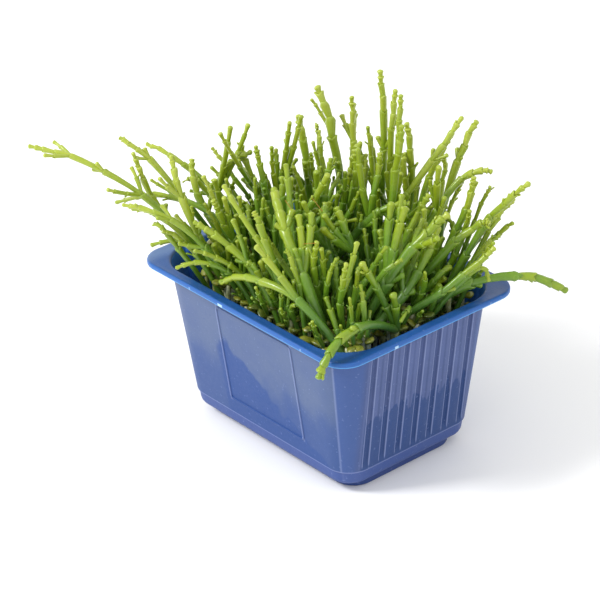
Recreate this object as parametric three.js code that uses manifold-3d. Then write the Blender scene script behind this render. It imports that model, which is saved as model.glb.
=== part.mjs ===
// A tray of young samphire: a thermoformed tray, the medium in it, and one branched plant per mesh.
// Millimetres, +Z up. The origin is under the middle of the tray's foot; X runs along the long side.
import * as THREE from "three";
import { mergeVertices } from "three/addons/utils/BufferGeometryUtils.js";
import Module from "manifold-3d";

const wasm = await Module();
wasm.setup();

// The tray's driving dimensions.
const RIM = { length: 98, width: 74, corner: 8, top: 55.2, thick: 1.2, lip: 0.5 };
const FLANGE = 3.6;
const OPENING_CORNER = 13.5;
const WALL_CORNER_LOW = 7.5;
const WALL_IN = 6.9;
const WALL_THICK = 1.7;
const FOOT = { height: 3.4, inX: 2.6, inY: 4.0, floor: 1.2 };
const STEP = { z: 8.3, in: 0.5, edge: 1.0 };
const FLUTE = { pitch: 6.6, width: 2.1, depth: 0.9, slant: 0.45, count: 7, end: 2.2 };
const PANEL = { width: 36, off: 2.6, low: 13.7, high: 49.5, corner: 1.6, line: 0.8, proud: 0.4, sunk: 0.5 };

// The medium's driving dimensions, and the plain holes that the stems stand in.
const MEDIUM = { top: 35, gap: 0.35, bump: 0.9 };
const HOLE = { floor: 25.6, gap: 0.32, sides: 4 };
const ROOT_END = 26;

// The plants' driving dimensions.
const GIRTH = { neck: 0.74, cup: 1.16, tip: 0.62, stem: 0.62, gap: 0.25, thinning: 0.34, sides: 4 };
const JOINT_LENGTH = 12.5;
const SHORTENING = 1.5;
const CLEARANCE = 0.3;
const ATTEMPTS = 500;
const SWAY = new THREE.Vector3(0.77, -0.64, 0.55);
// The long shoots from low on a plant: how many, their length and lean, and the space they keep to.
const LOW = { most: 2, tries: 70, shortest: 15, longer: 19, upright: 0.25, leans: 0.55 };
const TUFT = { a: 42, b: 35, top: 96 };

// One row per plant: where it stands (x, y, collar height), a point halfway along its shoot,
// its tip, and the shoot's middle radius.
const PLANTS = [
  // Two that lie over the rim's corners, and the stout ones at the front.
  [33, 6, 49, 47, 27, 61.5, 61, 45, 55, 1.7],
  [38, -5, 51, 42, -27, 62, 46, -43, 53, 1.7],
  [36, -18, 50, 41, -4, 67, 45, 13, 84, 1.7],
  [28, -10, 50, 33, 2, 70, 38, 17, 84, 1.8],
  [35, -24, 49, 14, -30, 66, -13, -32, 58, 1.5],
  [27, -23, 51, 12, -23, 75, -6, -15, 87, 1.8],
  // The left end, where long shoots lean out over the rim.
  [-27, -23, 52, -45, -40, 82, -69, -61, 95, 1.2],
  [-36, -10, 50, -49, -24, 79, -61, -32, 91, 1.2],
  [-34, -21, 58, -40, -33, 72, -46, -40, 94, 1.2],
  [-32, 3, 50, -46, -12, 75, -62, -21, 85, 1.1],
  [-20, -24, 51, -25, -33, 77, -33, -33, 95, 1.3],
  [-28, -9, 49, -38, -17, 69, -45, -16, 84, 1.4],
  [-24, -15, 52, -37, -25, 74, -56, -38, 73, 1.1],
  [-13, -23, 50, -25, -34, 72, -40, -48, 80, 1.1],
  [-37, -2, 48, -44, -9, 71, -37, 1, 84, 1.3],
  [-28, 6, 50, -36, 3, 69, -42, 2, 85, 1.2],
  [-21, -1, 52, -29, 1, 70, -35, 2, 86, 1.3],
  [-35, 11, 49, -34, 10, 68, -37, 12, 81, 1.2],
  // The back row.
  [-27, 17, 50, -30, 19, 70, -35, 20, 91, 1.6],
  [-22, 24, 50, -27, 29, 75, -36, 29, 98, 1.8],
  [-14, 25, 52, -23, 33, 74, -27, 36, 95, 1.4],
  [-6, 25, 50, -7, 31, 82, -9, 32, 111, 1.4],
  [1, 25, 50, -2, 29, 80, -3, 33, 106, 1.3],
  [9, 17, 51, 7, 24, 82, 6, 27, 109, 1.2],
  [13, 10, 50, 12, 18, 80, 13, 21, 103, 1.4],
  [9, 25, 49, 6, 31, 76, 3, 32, 97, 1.4],
  [0, 16, 52, 8, 29, 77, 13, 40, 98, 1.3],
  [17, 23, 50, 15, 29, 76, 19, 36, 97, 1.3],
  [24, 24, 50, 19, 36, 80, 22, 44, 100, 1.4],
  // The right end.
  [19, 15, 53, 23, 31, 80, 31, 42, 86, 1.4],
  [32, 19, 50, 38, 29, 72, 51, 38, 91, 1.3],
  [25, 17, 49, 30, 29, 72, 32, 33, 88, 1.4],
  [27, 8, 52, 37, 22, 73, 44, 28, 78, 1.4],
  [34, 0, 48, 43, 9, 62, 51, 20, 75, 1.3],
  // The front row, leaning to both sides.
  [3, -24, 50, -8, -27, 66, -23, -33, 76, 1.4],
  [12, -24, 48, 6, -27, 73, 0, -28, 86, 1.4],
  [20, -18, 50, 22, -23, 68, 22, -24, 82, 1.3],
  [28, -17, 48, 31, -21, 65, 34, -21, 79, 1.2],
  // The middle.
  [18, -9, 50, 9, -7, 70, 3, -2, 81, 1.6],
  [19, -1, 49, 15, -3, 70, 9, -3, 82, 1.6],
  [26, -2, 48, 26, -1, 64, 23, 3, 77, 1.5],
  [-3, 3, 50, 4, 12, 71, 14, 25, 76, 1.6],
  [20, 7, 50, 22, 13, 68, 24, 22, 83, 1.5],
  [-2, -11, 50, -5, -10, 69, 1, -3, 78, 1.6],
  [-12, -9, 51, -12, -7, 68, -14, -5, 85, 1.5],
  [-10, 14, 50, -6, 17, 70, -8, 20, 88, 1.4],
  [5, 8, 51, 6, 14, 72, 4, 20, 91, 1.4],
  [-13, 4, 50, -9, 6, 70, -10, 12, 87, 1.4],
  [-18, -14, 48, -19, -22, 68, -21, -27, 82, 1.3],
  [8, -13, 49, 4, -16, 66, -6, -8, 76, 1.5],
];

const COLOURS = { tray: 0x3f66b0, medium: 0x2b2619, young: 0x9ab83a, grown: 0x6f9c30 };

/** A seeded stream of numbers from 0 to 1. */
function draws(seed) {
  let state = seed * 7919 + 17;
  const draw = () => {
    state = (state * 16807) % 2147483647;
    return state / 2147483647;
  };
  for (let i = 0; i < 3; i++) draw();
  return draw;
}

/** A closed solid of a geometry, with shared vertices merged and collapsed faces left out. */
function solidOf(geometry) {
  const bare = new THREE.BufferGeometry();
  bare.setAttribute("position", geometry.getAttribute("position").clone());
  if (geometry.index) bare.setIndex(geometry.index.clone());
  const merged = mergeVertices(bare, 1e-4);
  const index = merged.index.array;
  const faces = [];
  for (let i = 0; i < index.length; i += 3) {
    const [a, b, c] = [index[i], index[i + 1], index[i + 2]];
    if (a !== b && b !== c && c !== a) faces.push(a, b, c);
  }
  const vertProperties = new Float32Array(merged.getAttribute("position").array);
  const triVerts = new Uint32Array(faces);
  return new wasm.Manifold(new wasm.Mesh({ numProp: 3, vertProperties, triVerts }));
}

/** A geometry of a solid. */
function geometryOf(solid) {
  const mesh = solid.getMesh();
  const geometry = new THREE.BufferGeometry();
  geometry.setAttribute("position", new THREE.Float32BufferAttribute(mesh.vertProperties, 3));
  geometry.setIndex([...mesh.triVerts]);
  geometry.computeVertexNormals();
  return geometry;
}

/** A closed loft through outlines with equal numbers of points, bottom first, anticlockwise from above. */
function loft(rings) {
  const n = rings[0].length;
  const points = rings.flat();
  const index = [];
  for (let r = 0; r < rings.length - 1; r++) {
    for (let i = 0; i < n; i++) {
      const a = r * n + i;
      const b = r * n + ((i + 1) % n);
      index.push(a, b, b + n, a, b + n, a + n);
    }
  }
  const outline = (ring) => ring.map((p) => new THREE.Vector2(p.x, p.y));
  const top = (rings.length - 1) * n;
  for (const [a, b, c] of THREE.ShapeUtils.triangulateShape(outline(rings[0]), [])) index.push(a, c, b);
  for (const [a, b, c] of THREE.ShapeUtils.triangulateShape(outline(rings.at(-1)), [])) {
    index.push(top + a, top + b, top + c);
  }
  const geometry = new THREE.BufferGeometry().setFromPoints(points);
  geometry.setIndex(index);
  return solidOf(geometry);
}

/** A rounded rectangle at height z, with corners of a few segments. */
function rounded(a, b, r, z, segments = 4) {
  const ring = [];
  const corners = [[a - r, b - r, 0], [r - a, b - r, 1], [r - a, r - b, 2], [a - r, r - b, 3]];
  for (const [x, y, quarter] of corners) {
    for (let i = 0; i <= segments; i++) {
      const t = ((quarter + i / segments) * Math.PI) / 2;
      ring.push(new THREE.Vector3(x + r * Math.cos(t), y + r * Math.sin(t), z));
    }
  }
  return ring;
}

/** The wall's half length, half width and corner radius at height z, inset by a wall's thickness. */
function wallAt(z, inset = 0) {
  const fall = (RIM.top - z) / (RIM.top - FOOT.height);
  const low = OPENING_CORNER + (WALL_CORNER_LOW - OPENING_CORNER) * fall;
  return {
    a: RIM.length / 2 - FLANGE - WALL_IN * fall - inset,
    b: RIM.width / 2 - FLANGE - WALL_IN * fall - inset,
    r: Math.max(low - inset, 2),
  };
}

/** The wall's outline at height z: a rounded rectangle whose short sides carry upright flutes. */
function flutedWall(z, depth, inset = 0) {
  const { a, b, r } = wallAt(z, inset);
  const side = [];
  const first = -(FLUTE.count - 1) / 2;
  for (let k = 0; k < FLUTE.count; k++) {
    const middle = (first + k) * FLUTE.pitch;
    const half = FLUTE.width / 2;
    side.push([middle - half, 0], [middle - half + FLUTE.slant, depth]);
    side.push([middle + half - FLUTE.slant, depth], [middle + half, 0]);
  }
  const ring = [];
  const edge = (y) => {
    const over = Math.max(Math.abs(y) - (b - r), 0);
    return a - r + Math.sqrt(r * r - over * over);
  };
  const start = Math.asin(((FLUTE.count * FLUTE.pitch) / 2 - 0.6 - (b - r)) / r);
  const corner = (sx, sy, from, to) => {
    for (let i = 0; i <= 4; i++) {
      const t = from + ((to - from) * i) / 4;
      ring.push(new THREE.Vector3(sx * (a - r + r * Math.cos(t)), sy * (b - r + r * Math.sin(t)), z));
    }
  };
  for (const [y, d] of side) ring.push(new THREE.Vector3(edge(y) - d, y, z));
  corner(1, 1, start, Math.PI / 2);
  corner(-1, 1, Math.PI / 2, start);
  for (const [y, d] of side) ring.push(new THREE.Vector3(d - edge(y), -y, z));
  corner(-1, -1, start, Math.PI / 2);
  corner(1, -1, Math.PI / 2, start);
  return ring;
}

/** A raised rectangular line on a long wall: a plain panel frame that follows the wall's slant. */
function panelFrame(side) {
  const line = (grow) => {
    const [w, h, r] = [PANEL.width / 2 + grow, (PANEL.high - PANEL.low) / 2 + grow, PANEL.corner + grow];
    const shape = new THREE.Path();
    shape.moveTo(w - r, -h);
    shape.absarc(w - r, r - h, r, -Math.PI / 2, 0, false);
    shape.absarc(w - r, h - r, r, 0, Math.PI / 2, false);
    shape.absarc(r - w, h - r, r, Math.PI / 2, Math.PI, false);
    shape.absarc(r - w, r - h, r, Math.PI, Math.PI * 1.5, false);
    return shape;
  };
  const shape = new THREE.Shape(line(0).getPoints(3));
  shape.holes.push(new THREE.Path(line(-PANEL.line).getPoints(3)));
  const depth = PANEL.proud + PANEL.sunk;
  const frame = new THREE.ExtrudeGeometry(shape, { depth, bevelEnabled: false });
  const middle = (PANEL.low + PANEL.high) / 2;
  frame.translate(0, 0, -PANEL.sunk);
  frame.rotateX(Math.PI / 2 + Math.atan(WALL_IN / (RIM.top - FOOT.height)));
  frame.translate(PANEL.off, -wallAt(middle).b, middle);
  if (side > 0) frame.rotateZ(Math.PI);
  return solidOf(frame);
}

/** The tray: fluted slanted walls on a foot, a flat rim with a small lip, hollow from above. */
function traySolid() {
  const low = FOOT.height;
  const body = loft([
    flutedWall(low, 0, STEP.in + STEP.edge),
    flutedWall(low + STEP.edge, 0, STEP.in),
    flutedWall(STEP.z - STEP.in, 0, STEP.in),
    flutedWall(STEP.z, 0, 0),
    flutedWall(STEP.z + FLUTE.end, FLUTE.depth, 0),
    flutedWall(RIM.top - 0.5, FLUTE.depth, 0),
  ]);
  const [a, b] = [RIM.length / 2, RIM.width / 2];
  const under = RIM.top - RIM.thick;
  const rim = loft([
    rounded(a - RIM.lip, b - RIM.lip, RIM.corner - RIM.lip, under - RIM.lip),
    rounded(a, b, RIM.corner, under),
    rounded(a, b, RIM.corner, RIM.top - RIM.lip),
    rounded(a - RIM.lip, b - RIM.lip, RIM.corner - RIM.lip, RIM.top),
  ]);
  const underRim = loft([
    rounded(a - 1.4, b - 1.4, RIM.corner - 1.4, under - 2),
    rounded(a - 1.4, b - 1.4, RIM.corner - 1.4, under),
  ]);
  const footWall = wallAt(low);
  const [fa, fb] = [footWall.a - FOOT.inX, footWall.b - FOOT.inY];
  const foot = loft([
    rounded(fa - 0.8, fb - 0.8, WALL_CORNER_LOW - 0.8, 0),
    rounded(fa, fb, WALL_CORNER_LOW, 0.8),
    rounded(fa, fb, WALL_CORNER_LOW, low + 0.5),
  ]);
  const outside = rim.subtract(underRim).add(body).add(foot);
  return outside.add(panelFrame(-1)).add(panelFrame(1)).subtract(hollow(0, RIM.top + 1));
}

/** The tray's hollow, shrunk by a gap and cut off at a height. */
function hollow(gap, top) {
  const inset = WALL_THICK + gap;
  const shelf = FOOT.height + WALL_THICK + gap;
  const ring = (z, extra = 0) => {
    const { a, b, r } = wallAt(z, inset - extra);
    return rounded(a, b, r, z);
  };
  const footWall = wallAt(FOOT.height, inset);
  const [fa, fb] = [footWall.a - FOOT.inX, footWall.b - FOOT.inY];
  const rings = [
    rounded(fa - 0.6, fb - 0.6, 4.5, FOOT.floor + gap),
    rounded(fa, fb, 5, FOOT.floor + gap + 0.8),
    rounded(fa, fb, 5, shelf),
    ring(shelf, -1),
    ring(shelf + 1),
  ];
  if (top < RIM.top) return loft([...rings, ring(top)]);
  return loft([...rings, ring(RIM.top - 2), ring(RIM.top, WALL_THICK), ring(top, WALL_THICK + 1)]);
}

/** A jointed or plain body of revolution, bent along a path of stations. */
function bent(profile, sides, station) {
  const outline = profile.map(([radius, at]) => new THREE.Vector2(radius, at));
  const lathe = new THREE.LatheGeometry(outline, sides);
  const position = lathe.getAttribute("position");
  for (let i = 0; i < position.count; i++) {
    const { middle, side, other } = station(position.getY(i));
    const at = middle.clone().addScaledVector(side, position.getX(i));
    at.addScaledVector(other, position.getZ(i));
    position.setXYZ(i, at.x, at.y, at.z);
  }
  return solidOf(lathe);
}

/** The middle and the two cross directions of a path at a share of its length. */
function frameOn(curve, share, across) {
  const middle = curve.getPoint(share);
  const along = curve.getTangent(share);
  const side = across.clone().addScaledVector(along, -across.dot(along)).normalize();
  const other = side.clone().cross(along);
  return { middle, along, side, other };
}

/** The shoot's path: a collar on the upright stem, then one bend through a halfway point to the tip. */
function shootPath(row, seed) {
  const draw = draws(seed);
  const attempt = seed % ATTEMPTS;
  const reach = Math.min(attempt * 0.06, 12);
  const loose = Math.min(attempt * 0.025, 5);
  const spread = () => (draw() * 2 - 1) * loose;
  const sway = (draw() * 2 - 1) * reach;
  const [rx, ry, rz, mx, my, mz, tx, ty, tz, girth] = row;
  const foot = new THREE.Vector3(rx + spread() * 0.6, ry + spread() * 0.6, rz + spread() * 0.5);
  foot.x += sway * SWAY.x * 0.3;
  foot.y += sway * SWAY.y * 0.3;
  const half = new THREE.Vector3(mx + spread(), my + spread(), mz + spread() * 0.5);
  half.addScaledVector(SWAY, sway * 0.8);
  const tip = new THREE.Vector3(tx + spread(), ty + spread(), tz + spread() * 0.5);
  tip.addScaledVector(SWAY, sway);
  const bend = half.clone().multiplyScalar(2).addScaledVector(foot, -0.5).addScaledVector(tip, -0.5);
  const curve = new THREE.QuadraticBezierCurve3(foot, bend, tip);
  const length = foot.distanceTo(half) + half.distanceTo(tip);
  const joints = Math.max(3, Math.round(length / JOINT_LENGTH));
  const across = new THREE.Vector3(foot.y - tip.y, tip.x - foot.x, 0.02).normalize();
  return { foot, curve, length, joints, across, girth, draw };
}

/** How far up the shoot a joint sits: the segments get shorter towards the tip. */
function jointAt({ length, joints }, j) {
  return length * (1 - (1 - j / joints) ** SHORTENING);
}

/** The trunk's profile: narrow above each joint and swelling to a cup below the next. */
function trunkProfile(plant) {
  const { foot, length, joints, girth } = plant;
  const below = foot.z - ROOT_END;
  const profile = [[0, -below], [GIRTH.stem, -below], [GIRTH.stem, -0.2]];
  for (let j = 0; j < joints; j++) {
    const slim = girth * (1 - GIRTH.thinning * (j / joints) ** 2);
    const last = j === joints - 1;
    profile.push([slim * GIRTH.neck, jointAt(plant, j) + GIRTH.gap]);
    profile.push([slim * (last ? GIRTH.tip : GIRTH.cup), jointAt(plant, j + 1) - GIRTH.gap]);
  }
  profile.push([0, length]);
  return profile;
}

/** A straight or curving branch from one joint, as a curve and its profile. */
function branchAt(plant, joint, turn, length, lean, radius) {
  const share = jointAt(plant, joint) / plant.length;
  const { middle, along, side, other } = frameOn(plant.curve, share, plant.across);
  const out = side.clone().multiplyScalar(Math.cos(turn)).addScaledVector(other, Math.sin(turn));
  const first = along.clone().multiplyScalar(Math.cos(lean)).addScaledVector(out, Math.sin(lean));
  const bend = middle.clone().addScaledVector(first, length * 0.5);
  const tip = bend.clone().addScaledVector(first, length * 0.3).addScaledVector(along, length * 0.2);
  const curve = new THREE.QuadraticBezierCurve3(middle, bend, tip);
  const profile = [[0, 0], [radius * 0.75, 0.2]];
  if (length < 9) profile.push([radius * 1.1, length * 0.8]);
  else profile.push([radius * 1.1, length * 0.5], [radius, length * 0.93]);
  profile.push([0, length]);
  return { curve, profile, length, across: out.clone().cross(along).normalize(), sides: 4 };
}

/** The pair of fleshy seed leaves at the collar, one curved piece through the stem. */
function seedLeaves(plant) {
  const turn = plant.draw() * Math.PI;
  const reach = 3.2 + plant.draw() * 1.2;
  const flat = new THREE.Vector3(Math.cos(turn), Math.sin(turn), 0);
  const crown = plant.foot.clone().add(new THREE.Vector3(0, 0, 1.6));
  const left = plant.foot.clone().addScaledVector(flat, -reach).add(new THREE.Vector3(0, 0, -1));
  const right = plant.foot.clone().addScaledVector(flat, reach).add(new THREE.Vector3(0, 0, -1));
  const curve = new THREE.QuadraticBezierCurve3(left, crown, right);
  const length = reach * 2;
  const profile = [[0, 0], [1.05, length * 0.22], [1.05, length * 0.78], [0, length]];
  return { curve, profile, length, across: new THREE.Vector3(0, 0, 1), sides: 4 };
}

/** The side shoots of a plant: pairs at some lower joints, each pair turned a quarter from the last. */
function sideShoots(plant) {
  const { draw, joints, girth } = plant;
  const shoots = [];
  for (let j = 1; j < joints; j++) {
    const turn = draw() * 0.8 + (j % 2) * (Math.PI / 2);
    const both = draw();
    for (const half of [0, 1]) {
      const long = draw();
      const length = 4 + 11 * long * long * (1 - (0.5 * j) / joints);
      const lean = 0.5 + draw() * 0.45;
      const radius = girth * (0.5 + draw() * 0.12);
      const grows = j < joints - 1 && (both < 0.28 || (both < 0.58 && half === 0));
      if (grows) shoots.push(branchAt(plant, j, turn + half * Math.PI, length, lean, radius));
    }
  }
  return shoots;
}

/** The long shoots of a plant, from its collar or first joint, each in the first try that has room. */
function lowShoots(plant, number, standing) {
  const shoots = [];
  for (let k = 0; k < LOW.most; k++) {
    const draw = draws(100000 + number * 10 + k);
    for (let attempt = 0; attempt < LOW.tries; attempt++) {
      const joint = Math.floor(draw() * 2);
      const turn = draw() * Math.PI * 2;
      const length = LOW.shortest + draw() * LOW.longer;
      const lean = LOW.upright + draw() * LOW.leans;
      const radius = plant.girth * (0.6 + draw() * 0.2);
      const shoot = branchAt(plant, joint, turn, length, lean, radius);
      const { x, y, z } = shoot.curve.v2;
      if (Math.hypot(x / TUFT.a, y / TUFT.b) > 1 || z > TUFT.top) continue;
      if (!hasRoom(capsules(shoot), standing.filter((other) => other.owner !== number))) continue;
      shoots.push(shoot);
      standing.push(...capsules(shoot).map((one) => ({ ...one, owner: number })));
      break;
    }
  }
  return shoots;
}

/** The capsules that hold a bent piece: one per stretch of its profile. */
function capsules({ curve, profile, length }) {
  const list = [];
  for (let i = 0; i < profile.length - 1; i++) {
    const [r0, s0] = profile[i];
    const [r1, s1] = profile[i + 1];
    if (s0 < 0) continue;
    list.push({ p: curve.getPoint(s0 / length), q: curve.getPoint(s1 / length), r: Math.max(r0, r1) });
  }
  return list;
}

const spare = new THREE.Vector3();

/** The least distance between two segments, found by clamping on each in turn. */
function apart(a, b) {
  const u = a.q.clone().sub(a.p);
  const v = b.q.clone().sub(b.p);
  const uu = Math.max(u.lengthSq(), 1e-9);
  const vv = Math.max(v.lengthSq(), 1e-9);
  const w = a.p.clone().sub(b.p);
  const uv = u.dot(v);
  const flat = uu * vv - uv * uv;
  let s = flat > 1e-9 ? THREE.MathUtils.clamp((uv * v.dot(w) - vv * u.dot(w)) / flat, 0, 1) : 0;
  const t = THREE.MathUtils.clamp((uv * s + v.dot(w)) / vv, 0, 1);
  s = THREE.MathUtils.clamp((uv * t - u.dot(w)) / uu, 0, 1);
  return spare.copy(w).addScaledVector(u, s).addScaledVector(v, -t).length();
}

/** How far a point lies outside a rounded rectangle; negative inside. */
function outside(x, y, a, b, r) {
  const dx = Math.abs(x) - (a - r);
  const dy = Math.abs(y) - (b - r);
  return Math.hypot(Math.max(dx, 0), Math.max(dy, 0)) + Math.min(Math.max(dx, dy), 0) - r;
}

/** Whether a capsule keeps clear of the tray's wall and rim. */
function clearOfTray({ p, q, r }) {
  const steps = Math.ceil(p.distanceTo(q));
  for (let i = 0; i <= steps; i++) {
    const at = p.clone().lerp(q, i / Math.max(steps, 1));
    if (at.z > RIM.top + r + CLEARANCE) continue;
    const out = outside(at.x, at.y, RIM.length / 2, RIM.width / 2, RIM.corner);
    if (out > r + CLEARANCE && at.z > RIM.top - 12) continue;
    const wall = wallAt(Math.min(at.z, RIM.top) - 1, WALL_THICK);
    if (outside(at.x, at.y, wall.a, wall.b, wall.r) > -r - CLEARANCE) return false;
  }
  return true;
}

/** Whether capsules keep clear of the tray and of all that stands already. */
function hasRoom(list, standing) {
  for (const one of list) {
    if (!clearOfTray(one)) return false;
    if (one.p.z - one.r < MEDIUM.top + 2 || one.q.z - one.r < MEDIUM.top + 2) return false;
    for (const other of standing) {
      const near = one.r + other.r + CLEARANCE;
      if (one.p.distanceTo(other.p) > near + one.p.distanceTo(one.q) + other.p.distanceTo(other.q)) continue;
      if (apart(one, other) < near) return false;
    }
  }
  return true;
}

/** Grows one plant: the first of its attempts whose trunk and seed leaves have room. */
function grow(row, number, standing, stems) {
  for (let attempt = 0; attempt < ATTEMPTS; attempt++) {
    const plant = shootPath(row, number * ATTEMPTS + attempt);
    const leaves = seedLeaves(plant);
    const trunk = { curve: plant.curve, profile: trunkProfile(plant), length: plant.length };
    const fixed = [...capsules(trunk), ...capsules(leaves)];
    const stem = { p: plant.foot.clone().setZ(ROOT_END), q: plant.foot.clone(), r: GIRTH.stem };
    const crowded = stems.some((s) => Math.hypot(s.p.x - stem.p.x, s.p.y - stem.p.y) < 3.4);
    if (crowded || !hasRoom(fixed, [...standing, ...stems])) continue;
    if (!clearOfTray({ p: stem.p, q: stem.q, r: 1.4 })) continue;
    if (standing.some((other) => apart(stem, other) < stem.r + other.r + CLEARANCE)) continue;
    const shoots = sideShoots(plant).filter((shoot) => hasRoom(capsules(shoot), [...standing, ...stems]));
    standing.push(...[...fixed, ...shoots.flatMap(capsules)].map((one) => ({ ...one, owner: number })));
    stems.push({ ...stem, owner: number });
    return { plant, leaves, shoots, number };
  }
  return null;
}

/** The fused solid of a grown plant. */
function plantSolid({ plant, leaves, shoots }) {
  const upright = { side: new THREE.Vector3(1, 0, 0), other: new THREE.Vector3(0, 0, 0) };
  const first = frameOn(plant.curve, 0, plant.across);
  upright.side = plant.across.clone().setZ(0).normalize();
  upright.other = upright.side.clone().cross(new THREE.Vector3(0, 0, 1));
  const station = (at) => {
    if (at >= 0) return frameOn(plant.curve, at / plant.length, plant.across);
    const middle = first.middle.clone().add(new THREE.Vector3(0, 0, at));
    return { middle, side: upright.side, other: upright.other };
  };
  let solid = bent(trunkProfile(plant), GIRTH.sides, station);
  for (const piece of [leaves, ...shoots]) {
    const onPiece = (at) => frameOn(piece.curve, at / piece.length, piece.across);
    solid = solid.add(bent(piece.profile, piece.sides, onPiece));
  }
  return solid;
}

/** The medium: a block with a gently uneven top that fills the tray, with a plain hole for each stem. */
function mediumSolid(stems) {
  const draw = draws(5);
  const block = new THREE.BoxGeometry(RIM.length, RIM.width, MEDIUM.top, 7, 5, 1);
  block.translate(0, 0, MEDIUM.top / 2);
  const heights = new Map();
  const position = block.getAttribute("position");
  for (let i = 0; i < position.count; i++) {
    if (position.getZ(i) < MEDIUM.top - 0.1) continue;
    const key = `${Math.round(position.getX(i))} ${Math.round(position.getY(i))}`;
    if (!heights.has(key)) heights.set(key, MEDIUM.top + (draw() * 2 - 1) * MEDIUM.bump);
    position.setZ(i, heights.get(key));
  }
  let solid = hollow(MEDIUM.gap, MEDIUM.top + 2).intersect(solidOf(block));
  const reach = (GIRTH.stem + HOLE.gap) / Math.cos(Math.PI / HOLE.sides);
  for (const stem of stems) {
    const hole = new THREE.CylinderGeometry(reach, reach, 20, HOLE.sides);
    hole.rotateX(Math.PI / 2);
    hole.translate(stem.p.x, stem.p.y, HOLE.floor + 10);
    solid = solid.subtract(solidOf(hole));
  }
  return solid;
}

/** A named mesh with its own plain material. */
function named(name, solid, colour, roughness) {
  const material = new THREE.MeshStandardMaterial({ color: colour, roughness, metalness: 0 });
  const mesh = new THREE.Mesh(geometryOf(solid), material);
  mesh.name = name;
  return mesh;
}

const group = new THREE.Group();
group.add(named("tray", traySolid(), COLOURS.tray, 0.35));

const standing = [];
const stems = [];
const tuft = PLANTS.map((row, number) => grow(row, number, standing, stems)).filter((grown) => grown);
standing.push(...stems);
for (const { plant, shoots, number } of tuft) shoots.push(...lowShoots(plant, number, standing));
for (const grown of tuft) {
  const name = `samphire_plant_${String(grown.number + 1).padStart(2, "0")}`;
  const young = new THREE.Color(COLOURS.young);
  const colour = young.lerp(new THREE.Color(COLOURS.grown), (grown.plant.girth - 1) / 0.8);
  group.add(named(name, plantSolid(grown), colour.getHex(), 0.45));
}
group.add(named("growing_medium", mediumSolid(stems), COLOURS.medium, 0.95));

export default group;
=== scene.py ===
# %% [markdown]
# # Young samphire in a blue tray
#
# The object is a small thermoformed tray with a dense tuft of young samphire in it. Samphire is
# a fleshy seashore plant: its shoots have no leaves, but a row of swollen, jointed segments.
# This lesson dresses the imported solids: it models the tray, the growing medium and each of the
# plants again with finer forms, in the same place, and then gives them their finishes.

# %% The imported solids, loaded as a fixed frame
import math
import random

import bmesh
import bpy
import numpy as np
from mathutils import Matrix, Vector, noise


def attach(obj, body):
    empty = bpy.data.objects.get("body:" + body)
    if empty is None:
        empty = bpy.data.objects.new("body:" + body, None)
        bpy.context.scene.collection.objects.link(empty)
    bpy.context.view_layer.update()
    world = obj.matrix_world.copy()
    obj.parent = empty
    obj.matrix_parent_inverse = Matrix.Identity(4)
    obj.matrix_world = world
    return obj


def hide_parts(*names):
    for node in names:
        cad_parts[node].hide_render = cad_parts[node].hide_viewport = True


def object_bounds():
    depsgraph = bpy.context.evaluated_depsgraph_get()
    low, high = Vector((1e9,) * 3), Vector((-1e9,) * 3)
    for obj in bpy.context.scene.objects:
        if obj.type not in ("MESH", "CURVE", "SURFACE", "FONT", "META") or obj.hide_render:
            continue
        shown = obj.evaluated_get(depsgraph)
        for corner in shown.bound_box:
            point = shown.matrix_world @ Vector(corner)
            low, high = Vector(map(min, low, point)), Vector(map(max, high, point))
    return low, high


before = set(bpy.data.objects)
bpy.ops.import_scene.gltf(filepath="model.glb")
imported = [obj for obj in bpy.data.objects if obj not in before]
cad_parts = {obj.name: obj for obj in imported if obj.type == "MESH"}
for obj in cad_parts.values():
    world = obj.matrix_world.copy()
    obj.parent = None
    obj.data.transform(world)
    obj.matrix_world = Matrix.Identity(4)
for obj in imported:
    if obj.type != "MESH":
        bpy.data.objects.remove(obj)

CAD_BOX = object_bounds()
MM = 0.001
print(len(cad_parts), "nodes; box in mm", [[round(c / MM, 1) for c in corner] for corner in CAD_BOX])

# %% [markdown]
# ## The camera
#
# The picture was taken with a long lens from above one corner of the tray. The camera could be
# moved by eye until the tray fits, but a tray is a known rounded box, so its direction, distance
# and tilt were worked out from the corners of the rim and the foot, and are only written here.

# %% The camera
AZIMUTH, ELEVATION, ROLL = math.radians(50.09), math.radians(28.89), math.radians(-1.83)
TARGET = Vector((-8.27, -4.03, 43.05)) * MM
DISTANCE = 790.45 * MM
SENSOR, LENS = 36, 150

back = Vector((math.sin(AZIMUTH) * math.cos(ELEVATION), -math.cos(AZIMUTH) * math.cos(ELEVATION),
               math.sin(ELEVATION)))
level = Vector((math.cos(AZIMUTH), math.sin(AZIMUTH), 0))
upright = back.cross(level)
right = level * math.cos(ROLL) + upright * math.sin(ROLL)
up = upright * math.cos(ROLL) - level * math.sin(ROLL)

lens = bpy.data.cameras.new("camera")
lens.sensor_width, lens.lens = SENSOR, LENS
lens.clip_start, lens.clip_end = 0.05, 10
camera = bpy.data.objects.new("camera", lens)
bpy.context.collection.objects.link(camera)
camera.matrix_world = Matrix((right, up, back)).transposed().to_4x4()
camera.location = TARGET + back * DISTANCE
bpy.context.scene.camera = camera
print("camera at", [round(c, 3) for c in camera.location])

# %% [markdown]
# ## Modelling helpers
#
# Operators act on what is selected, so each step first says what that is. `pick` selects the
# corners, edges or faces whose middle passes a test, which is what a hand does with a click, and
# `everything` selects them all.

# %% Helpers for modelling
def begin():
    """Leaves edit mode and deselects everything, so that the next primitive stands alone."""
    if bpy.context.object and bpy.context.object.mode == "EDIT":
        bpy.ops.object.mode_set(mode="OBJECT")
    bpy.ops.object.select_all(action="DESELECT")


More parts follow.
